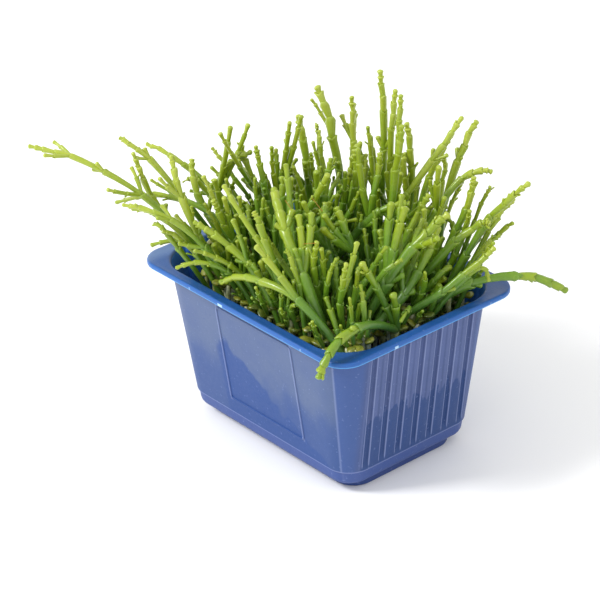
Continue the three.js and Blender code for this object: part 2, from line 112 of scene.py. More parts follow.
def edit(piece):
    """Makes a piece the only one selected and enters its edit mode."""
    begin()
    piece.select_set(True)
    bpy.context.view_layer.objects.active = piece
    bpy.ops.object.mode_set(mode="EDIT")


def pick(piece, test, kind="VERT"):
    """Selects the corners, edges or faces whose middle passes the test, in edit mode."""
    bpy.ops.mesh.select_mode(type=kind)
    bpy.ops.mesh.select_all(action="DESELECT")
    shape = bmesh.from_edit_mesh(piece.data)
    for part in {"VERT": shape.verts, "EDGE": shape.edges, "FACE": shape.faces}[kind]:
        if kind == "VERT":
            middle = part.co
        else:
            middle = sum((v.co for v in part.verts), Vector()) / len(part.verts)
        if test(middle):
            part.select_set(True)
    shape.select_flush_mode()
    bmesh.update_edit_mesh(piece.data)


def everything(kind="VERT"):
    """Selects the whole mesh as corners, edges or faces, in edit mode."""
    bpy.ops.mesh.select_mode(type=kind)
    bpy.ops.mesh.select_all(action="SELECT")


def joined(parts, main):
    """Joins parts into the main one of them."""
    begin()
    for part in parts:
        part.select_set(True)
    bpy.context.view_layer.objects.active = main
    bpy.ops.object.join()
    return main


def close(piece, smooth_angle=180):
    """Turns the faces outward, leaves edit mode and smooths the shading up to an angle."""
    everything()
    bpy.ops.mesh.normals_make_consistent(inside=False)
    bpy.ops.object.mode_set(mode="OBJECT")
    bpy.ops.object.shade_smooth_by_angle(angle=math.radians(smooth_angle))


def corners_of(piece):
    """The places of a mesh's corners, one row each."""
    points = np.empty(len(piece.data.vertices) * 3)
    piece.data.vertices.foreach_get("co", points)
    return points.reshape(-1, 3)


def volume(piece):
    """The signed volume of a closed mesh, which is above zero when its faces look outward."""
    shape = bmesh.new()
    shape.from_mesh(piece.data)
    held = shape.calc_volume(signed=True)
    shape.free()
    return held


def triangles_of(piece):
    """How many triangles a piece has."""
    return sum(len(p.vertices) - 2 for p in piece.data.polygons)


# %% [markdown]
# ## The tray
#
# A thermoformed tray is one thin sheet that was sucked over a mould, so it has no seams. All of
# its forms are level outlines: a foot, a belt, a wall with upright flutes in the short sides, a
# flange and a small turned down lip. So one disc is extruded upward again and again, and each
# time its edge takes the outline of that level. At the rim it turns and comes down the inside.

# %% The tray's measures, in millimetres
RIM = {"a": 49.0, "b": 37.0, "r": 8.0, "top": 55.2}
WALL = {"flange": 3.6, "in": 6.9, "corner_top": 13.5, "corner_low": 7.5}
FOOT = {"top": 3.4, "in_x": 2.6, "in_y": 4.0}
BELT = 0.5
FLUTES, FLUTE_PITCH = 7, 6.6
# Across one flute: the distance from its middle and the depth, with softly rolled edges.
FLUTE_LINE = [(-1.34, 0), (-1.14, 0.05), (-0.98, 0.24), (-0.82, 0.60), (-0.66, 0.83), (-0.4, 0.9), (0, 0.9),
              (0.4, 0.9), (0.68, 0.82), (0.86, 0.58), (1.04, 0.24), (1.22, 0.05), (1.45, 0)]
SIDE_END = 22.6
CORNER_STEPS, LONG_STEPS = 10, 18


def wall_size(z, inset=0.0):
    """Half length, half width and corner radius of the slanted wall at a height."""
    fall = (RIM["top"] - z) / (RIM["top"] - FOOT["top"])
    corner = WALL["corner_top"] + (WALL["corner_low"] - WALL["corner_top"]) * fall
    shrink = WALL["flange"] + WALL["in"] * fall + inset
    return RIM["a"] - shrink, RIM["b"] - shrink, max(corner - inset, 2)


def foot_size(inset=0.0):
    a, b, r = wall_size(FOOT["top"])
    return a - FOOT["in_x"] - inset, b - FOOT["in_y"] - inset, r - inset


def rim_size(inset=0.0):
    return RIM["a"] - inset, RIM["b"] - inset, RIM["r"] - inset


# %% The outline of the tray at one level
def side_stations():
    """The places along a short side: each flute's line, the middles of the bands, both ends."""
    first = -(FLUTES - 1) / 2
    places = [(-SIDE_END, 0.0)]
    for k in range(FLUTES):
        middle = (first + k) * FLUTE_PITCH
        places += [(middle + offset, deep) for offset, deep in FLUTE_LINE]
        if k < FLUTES - 1:
            places.append((middle + FLUTE_PITCH / 2, 0.0))
    return places + [(SIDE_END, 0.0)]


def corner_points(a, b, r, start):
    """Even points from the end of a short side round the corner to the start of the long side."""
    straight = max(b - r - start, 0)
    angle = math.asin(min(max((start - (b - r)) / r, 0), 1))
    whole = straight + r * (math.pi / 2 - angle)
    points = []
    for i in range(1, CORNER_STEPS + 1):
        run = whole * i / CORNER_STEPS
        if run < straight:
            points.append((a, start + run))
        else:
            turn = angle + (run - straight) / r
            points.append((a - r + r * math.cos(turn), b - r + r * math.sin(turn)))
    return points


def outline(size, z, depth=0.0):
    """One level of the tray in metres: the same number of points at every level, anticlockwise."""
    a, b, r = size
    shrink = min(1, (b - 0.45 * r) / SIDE_END)
    side = []
    for y, deep in side_stations():
        over = max(abs(y * shrink) - (b - r), 0)
        side.append((a - r + math.sqrt(r * r - over * over) - deep * depth, y * shrink))
    corner = corner_points(a, b, r, SIDE_END * shrink)
    span = a - r
    long = [(span - 2 * span * (i + 1) / (LONG_STEPS + 1), b) for i in range(LONG_STEPS)]
    half = side + corner + long + [(-x, y) for x, y in reversed(corner)]
    return np.array([(x * MM, y * MM, z * MM) for x, y in half + [(-x, -y) for x, y in half]])


print("points in an outline:", len(outline(rim_size(), 0)))

# %% The levels, from the foot up the outside, over the rim and down the inside
levels = [(foot_size(inset), z, 0) for inset, z in
          [(0.9, 0), (0.45, 0.1), (0.15, 0.35), (0, 0.8), (0, 3.0), (-0.25, 3.35)]]
levels += [(wall_size(z, BELT + inset), z, 0) for inset, z in
           [(1.3, 3.4), (0.8, 3.48), (0.4, 3.75), (0.12, 4.3), (0, 5.1), (0, 7.6)]]
levels += [(wall_size(z, inset), z, 0) for inset, z in
           [(0.42, 7.95), (0.3, 8.05), (0.1, 8.12), (0.0, 8.3), (-0.03, 8.55), (0, 9.0)]]
levels += [(wall_size(z), z, depth) for z, depth in
           [(9.5, 0.12), (10.1, 0.42), (10.8, 0.78), (11.6, 0.96), (12.6, 1), (18, 1), (24, 1), (30, 1),
            (36, 1), (42, 1), (48, 1), (52, 1), (53.1, 1)]]
levels += [(wall_size(z, inset), z, depth) for inset, z, depth in
           [(-0.1, 53.6, 0.6), (-0.35, 53.95, 0.2), (-0.8, 54.15, 0)]]
levels += [(rim_size(inset), z, 0) for inset, z in
           [(1.5, 54.2), (1.1, 54.1), (0.95, 53.8), (0.85, 53.5), (0.4, 53.45), (0.12, 53.55), (0, 53.8),
            (0, 54.5), (0.06, 54.85), (0.22, 55.1), (0.5, 55.2), (0.9, 55.22), (1.3, 55.12)]]
levels += [(wall_size(z, inset), z, depth) for inset, z, depth in
           [(-0.9, 55.06, 0), (-0.45, 55.08, 0), (-0.1, 55.0, 0)]]
INSIDE_FROM = len(levels)
levels += [(wall_size(z, inset), z, depth) for inset, z, depth in
           [(0.2, 54.75, 0.05), (0.45, 54.2, 0.3), (0.6, 53.4, 0.8), (0.75, 52, 1), (0.95, 47, 1),
            (1.1, 40, 1), (1.2, 32, 1), (1.3, 22, 1), (1.3, 12.6, 1), (1.3, 10.8, 0.7), (1.3, 9.3, 0.1),
            (1.3, 7, 0), (1.4, 6.1, 0), (1.8, 5.5, 0), (2.6, 5.2, 0)]]
levels += [(foot_size(inset), z, 0) for inset, z in
           [(0.9, 5.1), (1.2, 4.7), (1.3, 2.2), (1.6, 1.5), (2.4, 1.2)]]
print(len(levels), "levels, the inside from level", INSIDE_FROM)

# %% The tray, extruded level by level
begin()
first_line = outline(*levels[0])
bpy.ops.mesh.primitive_circle_add(vertices=len(first_line), radius=RIM["b"] * MM, fill_type="NGON")
tray = bpy.context.object
tray.name = tray.data.name = "tray_shell"
tray.data.attributes.new("inside", "FLOAT", "POINT")
places = tray.data.attributes.new("place", "INT", "POINT")
places.data.foreach_set("value", np.arange(len(first_line)))
edit(tray)
everything()
for number, (size, z, depth) in enumerate(levels):
    if number:
        bpy.ops.mesh.extrude_region_move()
    line = outline(size, z, depth)
    shape = bmesh.from_edit_mesh(tray.data)
    layer, inside = shape.verts.layers.int["place"], shape.verts.layers.float["inside"]
    for corner in shape.verts:
        if corner.select:
            corner.co = line[corner[layer]]
            corner[inside] = float(number >= INSIDE_FROM)
    bmesh.update_edit_mesh(tray.data)
close(tray, 50)
tray.data.attributes.remove(tray.data.attributes["place"])
print("tray:", triangles_of(tray), "triangles, volume", round(volume(tray) / MM ** 3), "mm3")

# %% [markdown]
# Each long wall has a plain panel, framed by a thin raised line. The line could be a bump in the
# material, but from the side it is seen to stand proud. So it starts as a flat sheet of the
# panel's size on the slanted wall; its corners are rounded, an inset leaves a narrow band, the
# middle goes, and the band is extruded and its edges rolled.

# %% The panel frames on the long walls
PANEL = {"width": 36, "off": 2.6, "low": 13.7, "high": 49.5, "corner": 1.6, "line": 0.8, "proud": 0.34,
         "sunk": 0.4, "roll": 0.26}
slant = math.atan(WALL["in"] / (RIM["top"] - FOOT["top"]))
panel_middle = (PANEL["low"] + PANEL["high"]) / 2
panel_height = PANEL["high"] - PANEL["low"]
wall_out = Vector((0, -math.cos(slant), -math.sin(slant)))
panel_place = Vector((PANEL["off"], -wall_size(panel_middle)[1], panel_middle)) * MM
sheet_place = panel_place - wall_out * PANEL["sunk"] * MM
begin()
bpy.ops.mesh.primitive_plane_add(size=1, location=sheet_place, rotation=(math.pi / 2 + slant, 0, 0),
                                 scale=(PANEL["width"] * MM, panel_height * MM, 1))
panel = bpy.context.object
panel.scale = (PANEL["width"] * MM, panel_height * MM, 1)
bpy.ops.object.transform_apply(location=True, rotation=True, scale=True)
edit(panel)
everything()
bpy.ops.mesh.bevel(offset=PANEL["corner"] * MM, segments=4, affect="VERTICES")
everything("FACE")
bpy.ops.mesh.inset(thickness=PANEL["line"] * MM)
bpy.ops.mesh.delete(type="FACE")
everything("FACE")
lift = wall_out * (PANEL["sunk"] + PANEL["proud"]) * MM
bpy.ops.mesh.extrude_region_move(TRANSFORM_OT_translate={"value": lift})
proud = PANEL["proud"] * MM / 2
everything("FACE")
bpy.ops.mesh.normals_make_consistent(inside=False)
pick(panel, lambda p: (p - panel_place).dot(wall_out) > proud, "EDGE")
bpy.ops.mesh.bevel(offset=PANEL["roll"] * MM, segments=3, affect="EDGES")
close(panel, 60)
opposite = panel.copy()
opposite.data = panel.data.copy()
opposite.data.transform(Matrix.Rotation(math.pi, 4, "Z"))
bpy.context.collection.objects.link(opposite)
print("panel frame:", triangles_of(panel), "triangles, volume", round(volume(panel) / MM ** 3, 1), "mm3")

# %% The shell and its panel frames become one piece
joined((panel, opposite, tray), tray)
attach(tray, "root")
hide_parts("tray")
print("tray with its frames:", triangles_of(tray), "triangles")

# %% [markdown]
# ## The growing medium
#
# The plants stand in a dark, damp, fibrous medium that fills the lower half of the tray. Only
# its top shows, between the stems. It starts as a block of the tray's inside size: the upright
# edges are rounded, the foot end is drawn in, bisecting planes lay a net over it and a
# subdivision makes it fine, and then the top is moved up and down as crumbs and hollows.

# %% The block of medium
MEDIUM = {"top": 35.0, "low": 6.2, "gap": 1.55, "bumps": 1.3, "net": 2.2}
top_a, top_b, top_r = wall_size(MEDIUM["top"], MEDIUM["gap"])
low_a, low_b, _ = wall_size(MEDIUM["low"], MEDIUM["gap"] + 0.6)
begin()
bpy.ops.mesh.primitive_cube_add(size=2, location=(0, 0, (MEDIUM["top"] + MEDIUM["low"]) / 2 * MM))
medium = bpy.context.object
medium.name = medium.data.name = "growing_medium_top"
medium.scale = (top_a * MM, top_b * MM, (MEDIUM["top"] - MEDIUM["low"]) / 2 * MM)
bpy.ops.object.transform_apply(location=True, rotation=True, scale=True)
edit(medium)
middle_z = (MEDIUM["top"] + MEDIUM["low"]) / 2 * MM
pick(medium, lambda p: abs(p.z - middle_z) < MM and abs(p.x) > 9 * MM and abs(p.y) > 9 * MM, "EDGE")
bpy.ops.mesh.bevel(offset=top_r * MM, segments=6, affect="EDGES")
pick(medium, lambda p: p.z < middle_z)
bpy.ops.transform.resize(value=(low_a / top_a, low_b / top_b, 1), center_override=(0, 0, 0))
for axis, reach in ((0, top_a), (1, top_b)):
    cuts = int(reach / MEDIUM["net"])
    for i in range(-cuts, cuts + 1):
        everything("FACE")
        place, facing = [0.0] * 3, [0.0] * 3
        place[axis], facing[axis] = (i * MEDIUM["net"] + 0.1) * MM, 1
        bpy.ops.mesh.bisect(plane_co=place, plane_no=facing)
bpy.ops.object.mode_set(mode="OBJECT")
finer = medium.modifiers.new("finer", "SUBSURF")
finer.subdivision_type = "SIMPLE"
finer.levels = finer.render_levels = 2
bpy.ops.object.modifier_apply(modifier=finer.name)
print("medium:", triangles_of(medium), "triangles")

# %% The uneven top of the medium
points = corners_of(medium)
for point in points:
    if point[2] > (MEDIUM["top"] - 0.5) * MM:
        x, y = point[0] / MM, point[1] / MM
        broad = noise.noise(Vector((x / 9, y / 9, 4)))
        crumbs = noise.noise(Vector((x / 2.3, y / 2.3, 9))) + 0.5 * noise.noise(Vector((x, y, 2)))
        edge = max(abs(x) / top_a, abs(y) / top_b) ** 8
        point[2] += MEDIUM["bumps"] * (0.5 * broad + 0.6 * crumbs - 0.4 * edge) * MM
medium.data.vertices.foreach_set("co", points.ravel())
edit(medium)
close(medium, 180)
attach(medium, "root")
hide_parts("growing_medium")
print("medium's volume:", round(volume(medium) / MM ** 3), "mm3")

# %% [markdown]
# ## The parts of a plant
#
# A samphire shoot is a chain of fleshy segments. Each is narrow where it comes out of the one
# below, swells upward and ends in a shallow cup with two opposite lips, from which the next one
# grows. Hundreds of them are alike, so each kind of part is modelled once, standing on the Z
# axis. Up to height 1 a part stretches with the length it is given, and what is above height 1,
# the cup or the rounded tip, keeps its own size. A radius of 1 is the segment's own radius.

# %% A round part, extruded ring by ring
def turned_part(name, sides, rings, hollow=False):
    """A round part through (height, radius) rings, with a pole or a hollow at its top."""
    begin()
    (low, first), (high, second) = rings[:2]
    bpy.ops.mesh.primitive_cylinder_add(vertices=sides, radius=first, depth=high - low,
                                        location=(0, 0, (low + high) / 2))
    part = bpy.context.object
    part.name = part.data.name = name
    bpy.ops.object.transform_apply(location=True, rotation=True, scale=True)
    edit(part)
    pick(part, lambda p: p.z > high - 1e-4)
    bpy.ops.transform.resize(value=(second / first, second / first, 1), center_override=(0, 0, high))
    before = second
    for (low, _), (high, radius) in zip(rings[1:], rings[2:]):
        bpy.ops.mesh.extrude_region_move(TRANSFORM_OT_translate={"value": (0, 0, high - low)})
        if radius == 0:
            bpy.ops.mesh.merge(type="CENTER")
        else:
            k = radius / before
            bpy.ops.transform.resize(value=(k, k, 1), center_override=(0, 0, high))
        before = radius
    if hollow:
        for drop, k in ((0.02, 0.84), (0.2, 0.8)):
            bpy.ops.mesh.extrude_region_move(TRANSFORM_OT_translate={"value": (0, 0, -drop)})
            bpy.ops.transform.resize(value=(k, k, 1), center_override=(0, 0, high))
    return part


def push(part, test, shift=(0, 0, 0), scale=(1, 1, 1)):
    """Moves and scales the corners that pass a test, about the part's axis."""
    pick(part, test)
    bpy.ops.transform.translate(value=shift)
    bpy.ops.transform.resize(value=scale, center_override=(0, 0, 0))


# %% The segment, with its cup and two lips
segment = turned_part("segment", 10, [
    (0, 0.56), (0.03, 0.70), (0.12, 0.78), (0.4, 0.84), (0.75, 0.92), (1.0, 0.97), (1.35, 1.02), (1.7, 1.06),
    (1.92, 1.02), (2.0, 0.92)], hollow=True)
push(segment, lambda p: p.z > 1.65 and abs(p.x) > 0.45 * math.hypot(p.x, p.y) + 0.02, shift=(0, 0, 0.14))
push(segment, lambda p: p.z > 1.65 and abs(p.x) > 0.95 * math.hypot(p.x, p.y), shift=(0, 0, 0.2),
     scale=(1.04, 1, 1))
push(segment, lambda p: p.z > 1.6 and abs(p.y) > 0.95 * math.hypot(p.x, p.y), shift=(0, 0, -0.25))
close(segment)
print("segment:", triangles_of(segment), "triangles")

# %% The round bead of a young tip, and the knob that ends a shoot
bead = turned_part("bead", 10, [
    (0, 0.6), (0.12, 0.7), (0.6, 0.76), (0.95, 0.84), (1.25, 0.97), (1.55, 1.07), (1.8, 1.04), (2.0, 0.8)])
push(bead, lambda p: 0.8 < p.z < 1.95 and abs(p.x) > 0.8 * math.hypot(p.x, p.y), scale=(1.08, 1, 1))
close(bead)
tip = turned_part("tip", 10, [
    (0, 0.52), (0.08, 0.64), (0.4, 0.72), (0.75, 0.8), (1.05, 0.93), (1.35, 1.0), (1.6, 0.92), (1.82, 0.66),
    (1.95, 0.34), (2.0, 0)])
push(tip, lambda p: 1.1 < p.z < 1.9, scale=(1.08, 0.92, 1))
close(tip)
print("bead:", triangles_of(bead), "triangles; tip:", triangles_of(tip), "triangles")

# %% The bud that sits in a lip, the lower stem and the fleshy seed leaf
bud = turned_part("bud", 7, [(0, 0.62), (0.5, 0.88), (1.1, 1.0), (1.6, 0.84), (1.88, 0.45), (2.0, 0)])
push(bud, lambda p: p.z > 0.9, scale=(1.12, 0.88, 1))
close(bud)
stem = turned_part("stem", 7, [(0, 0.8), (0.14, 1.0), (0.3, 0.9), (0.46, 1.02), (0.62, 0.93), (0.8, 1.0),
                               (0.92, 1.1), (1.0, 1.2)])
close(stem)
seed_leaf = turned_part("seed_leaf", 10, [
    (0, 0.42), (0.1, 0.55), (0.28, 0.82), (0.5, 1.0), (0.7, 1.0), (0.85, 0.84), (0.95, 0.5), (1.0, 0)])
push(seed_leaf, lambda p: True, scale=(1, 0.72, 1))
push(seed_leaf, lambda p: p.y > 0.15 and abs(p.x) < 0.65 and 0.15 < p.z < 0.9, shift=(0, -0.3, 0))
close(seed_leaf)
thread = turned_part("thread", 5, [(0, 0.5), (0.06, 0.9), (0.2, 1.0), (0.35, 0.9), (0.5, 1.0), (0.65, 0.9),
                                   (0.8, 1.0), (0.94, 0.8), (1.0, 0)])
close(thread)
PARTS = (segment, bead, tip, bud, stem, seed_leaf, thread)
for part in PARTS:
    print(part.name, triangles_of(part), "triangles, volume above zero:", volume(part) > 0)

# %% [markdown]
# ## Where the plants grow
#
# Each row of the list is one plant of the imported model: where it stands (x, y and the height of
# its collar), a point halfway along its shoot, its tip, and its middle radius, all in
# millimetres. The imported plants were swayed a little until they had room, by a seeded stream of
# numbers. The same stream is run here, and the try that was kept is the one whose tip and root
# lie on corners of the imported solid. Reading the whole path off the solid would be less exact.
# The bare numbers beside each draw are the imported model's own, so they have to stay as they are.

# %% The plants' rows
PLANTS = [
    [33, 6, 49, 47, 27, 61.5, 61, 45, 55, 1.7], [38, -5, 51, 42, -27, 62, 46, -43, 53, 1.7],
    [36, -18, 50, 41, -4, 67, 45, 13, 84, 1.7], [28, -10, 50, 33, 2, 70, 38, 17, 84, 1.8],
    [35, -24, 49, 14, -30, 66, -13, -32, 58, 1.5], [27, -23, 51, 12, -23, 75, -6, -15, 87, 1.8],
    [-27, -23, 52, -45, -40, 82, -69, -61, 95, 1.2], [-36, -10, 50, -49, -24, 79, -61, -32, 91, 1.2],
    [-34, -21, 58, -40, -33, 72, -46, -40, 94, 1.2], [-32, 3, 50, -46, -12, 75, -62, -21, 85, 1.1],
    [-20, -24, 51, -25, -33, 77, -33, -33, 95, 1.3], [-28, -9, 49, -38, -17, 69, -45, -16, 84, 1.4],
    [-24, -15, 52, -37, -25, 74, -56, -38, 73, 1.1], [-13, -23, 50, -25, -34, 72, -40, -48, 80, 1.1],
    [-37, -2, 48, -44, -9, 71, -37, 1, 84, 1.3], [-28, 6, 50, -36, 3, 69, -42, 2, 85, 1.2],
    [-21, -1, 52, -29, 1, 70, -35, 2, 86, 1.3], [-35, 11, 49, -34, 10, 68, -37, 12, 81, 1.2],
    [-27, 17, 50, -30, 19, 70, -35, 20, 91, 1.6], [-22, 24, 50, -27, 29, 75, -36, 29, 98, 1.8],
    [-14, 25, 52, -23, 33, 74, -27, 36, 95, 1.4], [-6, 25, 50, -7, 31, 82, -9, 32, 111, 1.4],
    [1, 25, 50, -2, 29, 80, -3, 33, 106, 1.3], [9, 17, 51, 7, 24, 82, 6, 27, 109, 1.2],
    [13, 10, 50, 12, 18, 80, 13, 21, 103, 1.4], [9, 25, 49, 6, 31, 76, 3, 32, 97, 1.4],
    [0, 16, 52, 8, 29, 77, 13, 40, 98, 1.3], [17, 23, 50, 15, 29, 76, 19, 36, 97, 1.3],
    [24, 24, 50, 19, 36, 80, 22, 44, 100, 1.4], [19, 15, 53, 23, 31, 80, 31, 42, 86, 1.4],
    [32, 19, 50, 38, 29, 72, 51, 38, 91, 1.3], [25, 17, 49, 30, 29, 72, 32, 33, 88, 1.4],
    [27, 8, 52, 37, 22, 73, 44, 28, 78, 1.4], [34, 0, 48, 43, 9, 62, 51, 20, 75, 1.3],
    [3, -24, 50, -8, -27, 66, -23, -33, 76, 1.4], [12, -24, 48, 6, -27, 73, 0, -28, 86, 1.4],
    [20, -18, 50, 22, -23, 68, 22, -24, 82, 1.3], [28, -17, 48, 31, -21, 65, 34, -21, 79, 1.2],
    [18, -9, 50, 9, -7, 70, 3, -2, 81, 1.6], [19, -1, 49, 15, -3, 70, 9, -3, 82, 1.6],
    [26, -2, 48, 26, -1, 64, 23, 3, 77, 1.5], [-3, 3, 50, 4, 12, 71, 14, 25, 76, 1.6],
    [20, 7, 50, 22, 13, 68, 24, 22, 83, 1.5], [-2, -11, 50, -5, -10, 69, 1, -3, 78, 1.6],
    [-12, -9, 51, -12, -7, 68, -14, -5, 85, 1.5], [-10, 14, 50, -6, 17, 70, -8, 20, 88, 1.4],
    [5, 8, 51, 6, 14, 72, 4, 20, 91, 1.4], [-13, 4, 50, -9, 6, 70, -10, 12, 87, 1.4],
    [-18, -14, 48, -19, -22, 68, -21, -27, 82, 1.3], [8, -13, 49, 4, -16, 66, -6, -8, 76, 1.5],
]
ROOT_END, JOINT_LENGTH, SHORTENING, ATTEMPTS = 26, 12.5, 1.5, 500
THINNING = 0.34
SAME, SURE = 0.05, 0.002  # how near a corner of the solid has to be, in millimetres
LOW_TRIES, LOW_SHORTEST, LOW_LONGER, LOW_UPRIGHT, LOW_LEANS = 70, 15, 19, 0.25, 0.55
SWAY = np.array((0.77, -0.64, 0.55))
print(len(PLANTS), "plants")


# %% The seeded stream and a curved path
def stream(seed):
    """A seeded stream of numbers from 0 to 1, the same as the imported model's."""
    state = seed * 7919 + 17
    for _ in range(3):
        state = state * 16807 % 2147483647
    while True:
        state = state * 16807 % 2147483647
        yield state / 2147483647


def unit(vector):
    return vector / np.linalg.norm(vector)


class Path:
    """A quadratic curve in millimetres, with two cross directions that keep to one side."""

    def __init__(self, start, bend, end, length, across):
        self.start, self.bend, self.end, self.length, self.across = start, bend, end, length, across
        self.kinks = None

    def along(self, s):
        """The middle, the direction and the two cross directions at stations in millimetres."""
        s = np.atleast_1d(s)
        t = (s / self.length)[:, None]
        middle = (1 - t) ** 2 * self.start + 2 * (1 - t) * t * self.bend + t ** 2 * self.end
        ahead = (1 - t) * (self.bend - self.start) + t * (self.end - self.bend)
        ahead = ahead / np.linalg.norm(ahead, axis=1)[:, None]
        side = self.across - ahead * (ahead @ self.across)[:, None]
        side = side / np.linalg.norm(side, axis=1)[:, None]
        other = np.cross(side, ahead)
        if self.kinks is not None:
            at, shifts = self.kinks
            middle = middle + np.stack([np.interp(s, at, shifts[:, i]) for i in range(3)], 1)
        return middle, ahead, side, other


def through(start, half, end, aside=0.0):
    """A path that passes a point halfway, as long as its two chords."""
    length = np.linalg.norm(start - half) + np.linalg.norm(half - end)
    across = unit(np.array((start[1] - end[1] + aside, end[0] - start[0], 0.02)))
    return Path(start, 2 * half - 0.5 * start - 0.5 * end, end, length, across)


# %% One try at a plant: its trunk, and a side shoot from one of its joints
def trunk_of(row, draw, attempt):
    """The trunk's path for one try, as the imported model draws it."""
    reach, loose = min(attempt * 0.06, 12), min(attempt * 0.025, 5)
    sway = (next(draw) * 2 - 1) * reach
    shake = np.array([(next(draw) * 2 - 1) * loose for _ in range(9)]).reshape(3, 3)
    foot = np.array(row[0:3]) + shake[0] * (0.6, 0.6, 0.5) + SWAY * sway * 0.3 * (1, 1, 0)
    half = np.array(row[3:6]) + shake[1] * (1, 1, 0.5) + SWAY * sway * 0.8
    end = np.array(row[6:9]) + shake[2] * (1, 1, 0.5) + SWAY * sway
    return through(foot, half, end)


def joint_at(path, joints, j):
    return path.length * (1 - (1 - j / joints) ** SHORTENING)


def branch_from(path, joints, j, turn, length, lean):
    """A side shoot's path from a joint."""
    middle, ahead, side, other = (value[0] for value in path.along(joint_at(path, joints, j)))
    out = side * math.cos(turn) + other * math.sin(turn)
    first = ahead * math.cos(lean) + out * math.sin(lean)
    bend = middle + first * length * 0.5
    end = bend + first * length * 0.3 + ahead * length * 0.2
    return Path(middle, bend, end, length, unit(np.cross(out, ahead)))


# %% The kept try of each plant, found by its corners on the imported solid
def miss(corners, point):
    return np.sqrt(((corners - point) ** 2).sum(1).min())


def kept_try(row, number, corners):
    """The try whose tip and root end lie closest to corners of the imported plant."""
    best = (1e9, 0)
    for attempt in range(ATTEMPTS):
        path = trunk_of(row, stream(number * ATTEMPTS + attempt), attempt)
        root = np.array((path.start[0], path.start[1], ROOT_END))
        best = min(best, (miss(corners, path.end) + miss(corners, root), attempt))
        if best[0] < SURE:
            break
    return best


def low_shoots(number, path, joints, girth, corners):
    """The long shoots that the plant sends up from its collar or first joint."""
    kept = []
    for k in range(2):
        draw = stream(100000 + number * 10 + k)
        for _ in range(LOW_TRIES):
            joint = math.floor(next(draw) * 2)
            turn = next(draw) * math.pi * 2
            length = LOW_SHORTEST + next(draw) * LOW_LONGER
            lean = LOW_UPRIGHT + next(draw) * LOW_LEANS
            radius = girth * (0.6 + next(draw) * 0.2)
            branch = branch_from(path, joints, joint, turn, length, lean)
            if miss(corners, branch.end) < SAME:
                kept.append((joint, branch, radius))
                break
    return kept


# %% All that is known of each plant
def grown(number, row):
    """One plant's trunk, joints, the turn of each pair of lips, and its branches."""
    corners = corners_of(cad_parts[f"samphire_plant_{number + 1:02d}"]) / MM
    off, attempt = kept_try(row, number, corners)
    draw = stream(number * ATTEMPTS + attempt)
    path = trunk_of(row, draw, attempt)
    joints = max(3, round(path.length / JOINT_LENGTH))
    leaves = (next(draw) * math.pi, 3.2 + next(draw) * 1.2)
    turns, branches = {}, []
    for j in range(1, joints):
        turns[j] = next(draw) * 0.8 + (j % 2) * math.pi / 2
        both = next(draw)
        for half in (0, 1):
            long = next(draw)
            length = 4 + 11 * long * long * (1 - 0.5 * j / joints)
            lean = 0.5 + next(draw) * 0.45
            radius = row[9] * (0.5 + next(draw) * 0.12)
            if j < joints - 1 and (both < 0.28 or (both < 0.58 and half == 0)):
                branch = branch_from(path, joints, j, turns[j] + half * math.pi, length, lean)
                if miss(corners, branch.end) < SAME:
                    branches.append((j, half, branch, radius))
    low = low_shoots(number, path, joints, row[9], corners)
    return {"path": path, "joints": joints, "girth": row[9], "leaves": leaves, "turns": turns,
            "branches": branches, "low": low, "off": off, "number": number}


plants = [grown(number, row) for number, row in enumerate(PLANTS)]
print("largest miss", round(max(p["off"] for p in plants), 4), "mm;", sum(len(p["branches"]) for p in plants),
      "side shoots;", sum(len(p["low"]) for p in plants), "long low shoots")

# %% [markdown]
# ## Laying the parts along the paths
#
# A Curve modifier could bend each part, but it also stretches the cups, and a thousand modifiers
# are slow. So each copy of a part gets its own mesh, and its corners are moved onto the path in
# one step. Each copy also takes a few numbers along for the colours: how near the plant's tip it
# is, how far up its own segment, what kind of tissue it is, and a shade of its own.

# %% Laying one copy of a part on a path
REST = {part.name: corners_of(part) for part in PARTS}
LUMPS = 0.07  # how far a part bulges out of round, as a share of its radius
LARGEST_CUP = 0.42  # the share of a segment that its cup may take
SHOOT, LEAF, STEM, THREAD = 0.0, 0.5, 1.0, 2.0


def lay(part, path, low, high, radius, turn=0.0, cup=1.15, age=(0, 1), tissue=SHOOT, shade=0.5):
    """Copies a part, with its own mesh, onto a stretch of a path."""
    rest = REST[part.name]
    cup_size = min(cup * radius, LARGEST_CUP * (high - low))
    body, over = np.minimum(rest[:, 2], 1), np.maximum(rest[:, 2] - 1, 0)
    s = low + body * (high - low - cup_size) + over * cup_size
    middle, _, side, other = path.along(s)
    share = np.clip((s - low) / (high - low), 0, 1)
    around = np.arctan2(rest[:, 1], rest[:, 0])
    thick = radius * (1 + LUMPS * np.sin(2 * around + 2.6 * rest[:, 2] + 2 * math.pi * shade))
    x = (rest[:, 0] * math.cos(turn) + rest[:, 1] * math.sin(turn)) * thick
    y = (rest[:, 1] * math.cos(turn) - rest[:, 0] * math.sin(turn)) * thick
    placed = middle + side * x[:, None] - other * y[:, None]
    copy = part.copy()
    copy.data = part.data.copy()
    copy.data.vertices.foreach_set("co", (placed * MM).ravel())
    values = {"age": age[0] + (age[1] - age[0]) * share, "rise": rest[:, 2] / 2, "tissue": tissue,
              "shade": shade}
    for name, value in values.items():
        layer = copy.data.attributes.new(name, "FLOAT", "POINT")
        layer.data.foreach_set("value", np.broadcast_to(np.asarray(value, dtype=float), len(rest)).copy())
    bpy.context.collection.objects.link(copy)
    return copy


# %% The stations of a shoot: each packed segment, the last ones split into shorter beads
LONG_END, VERY_LONG_END, LONG_BEFORE, BEAD_BELOW = 4.2, 7, 8, 3.6


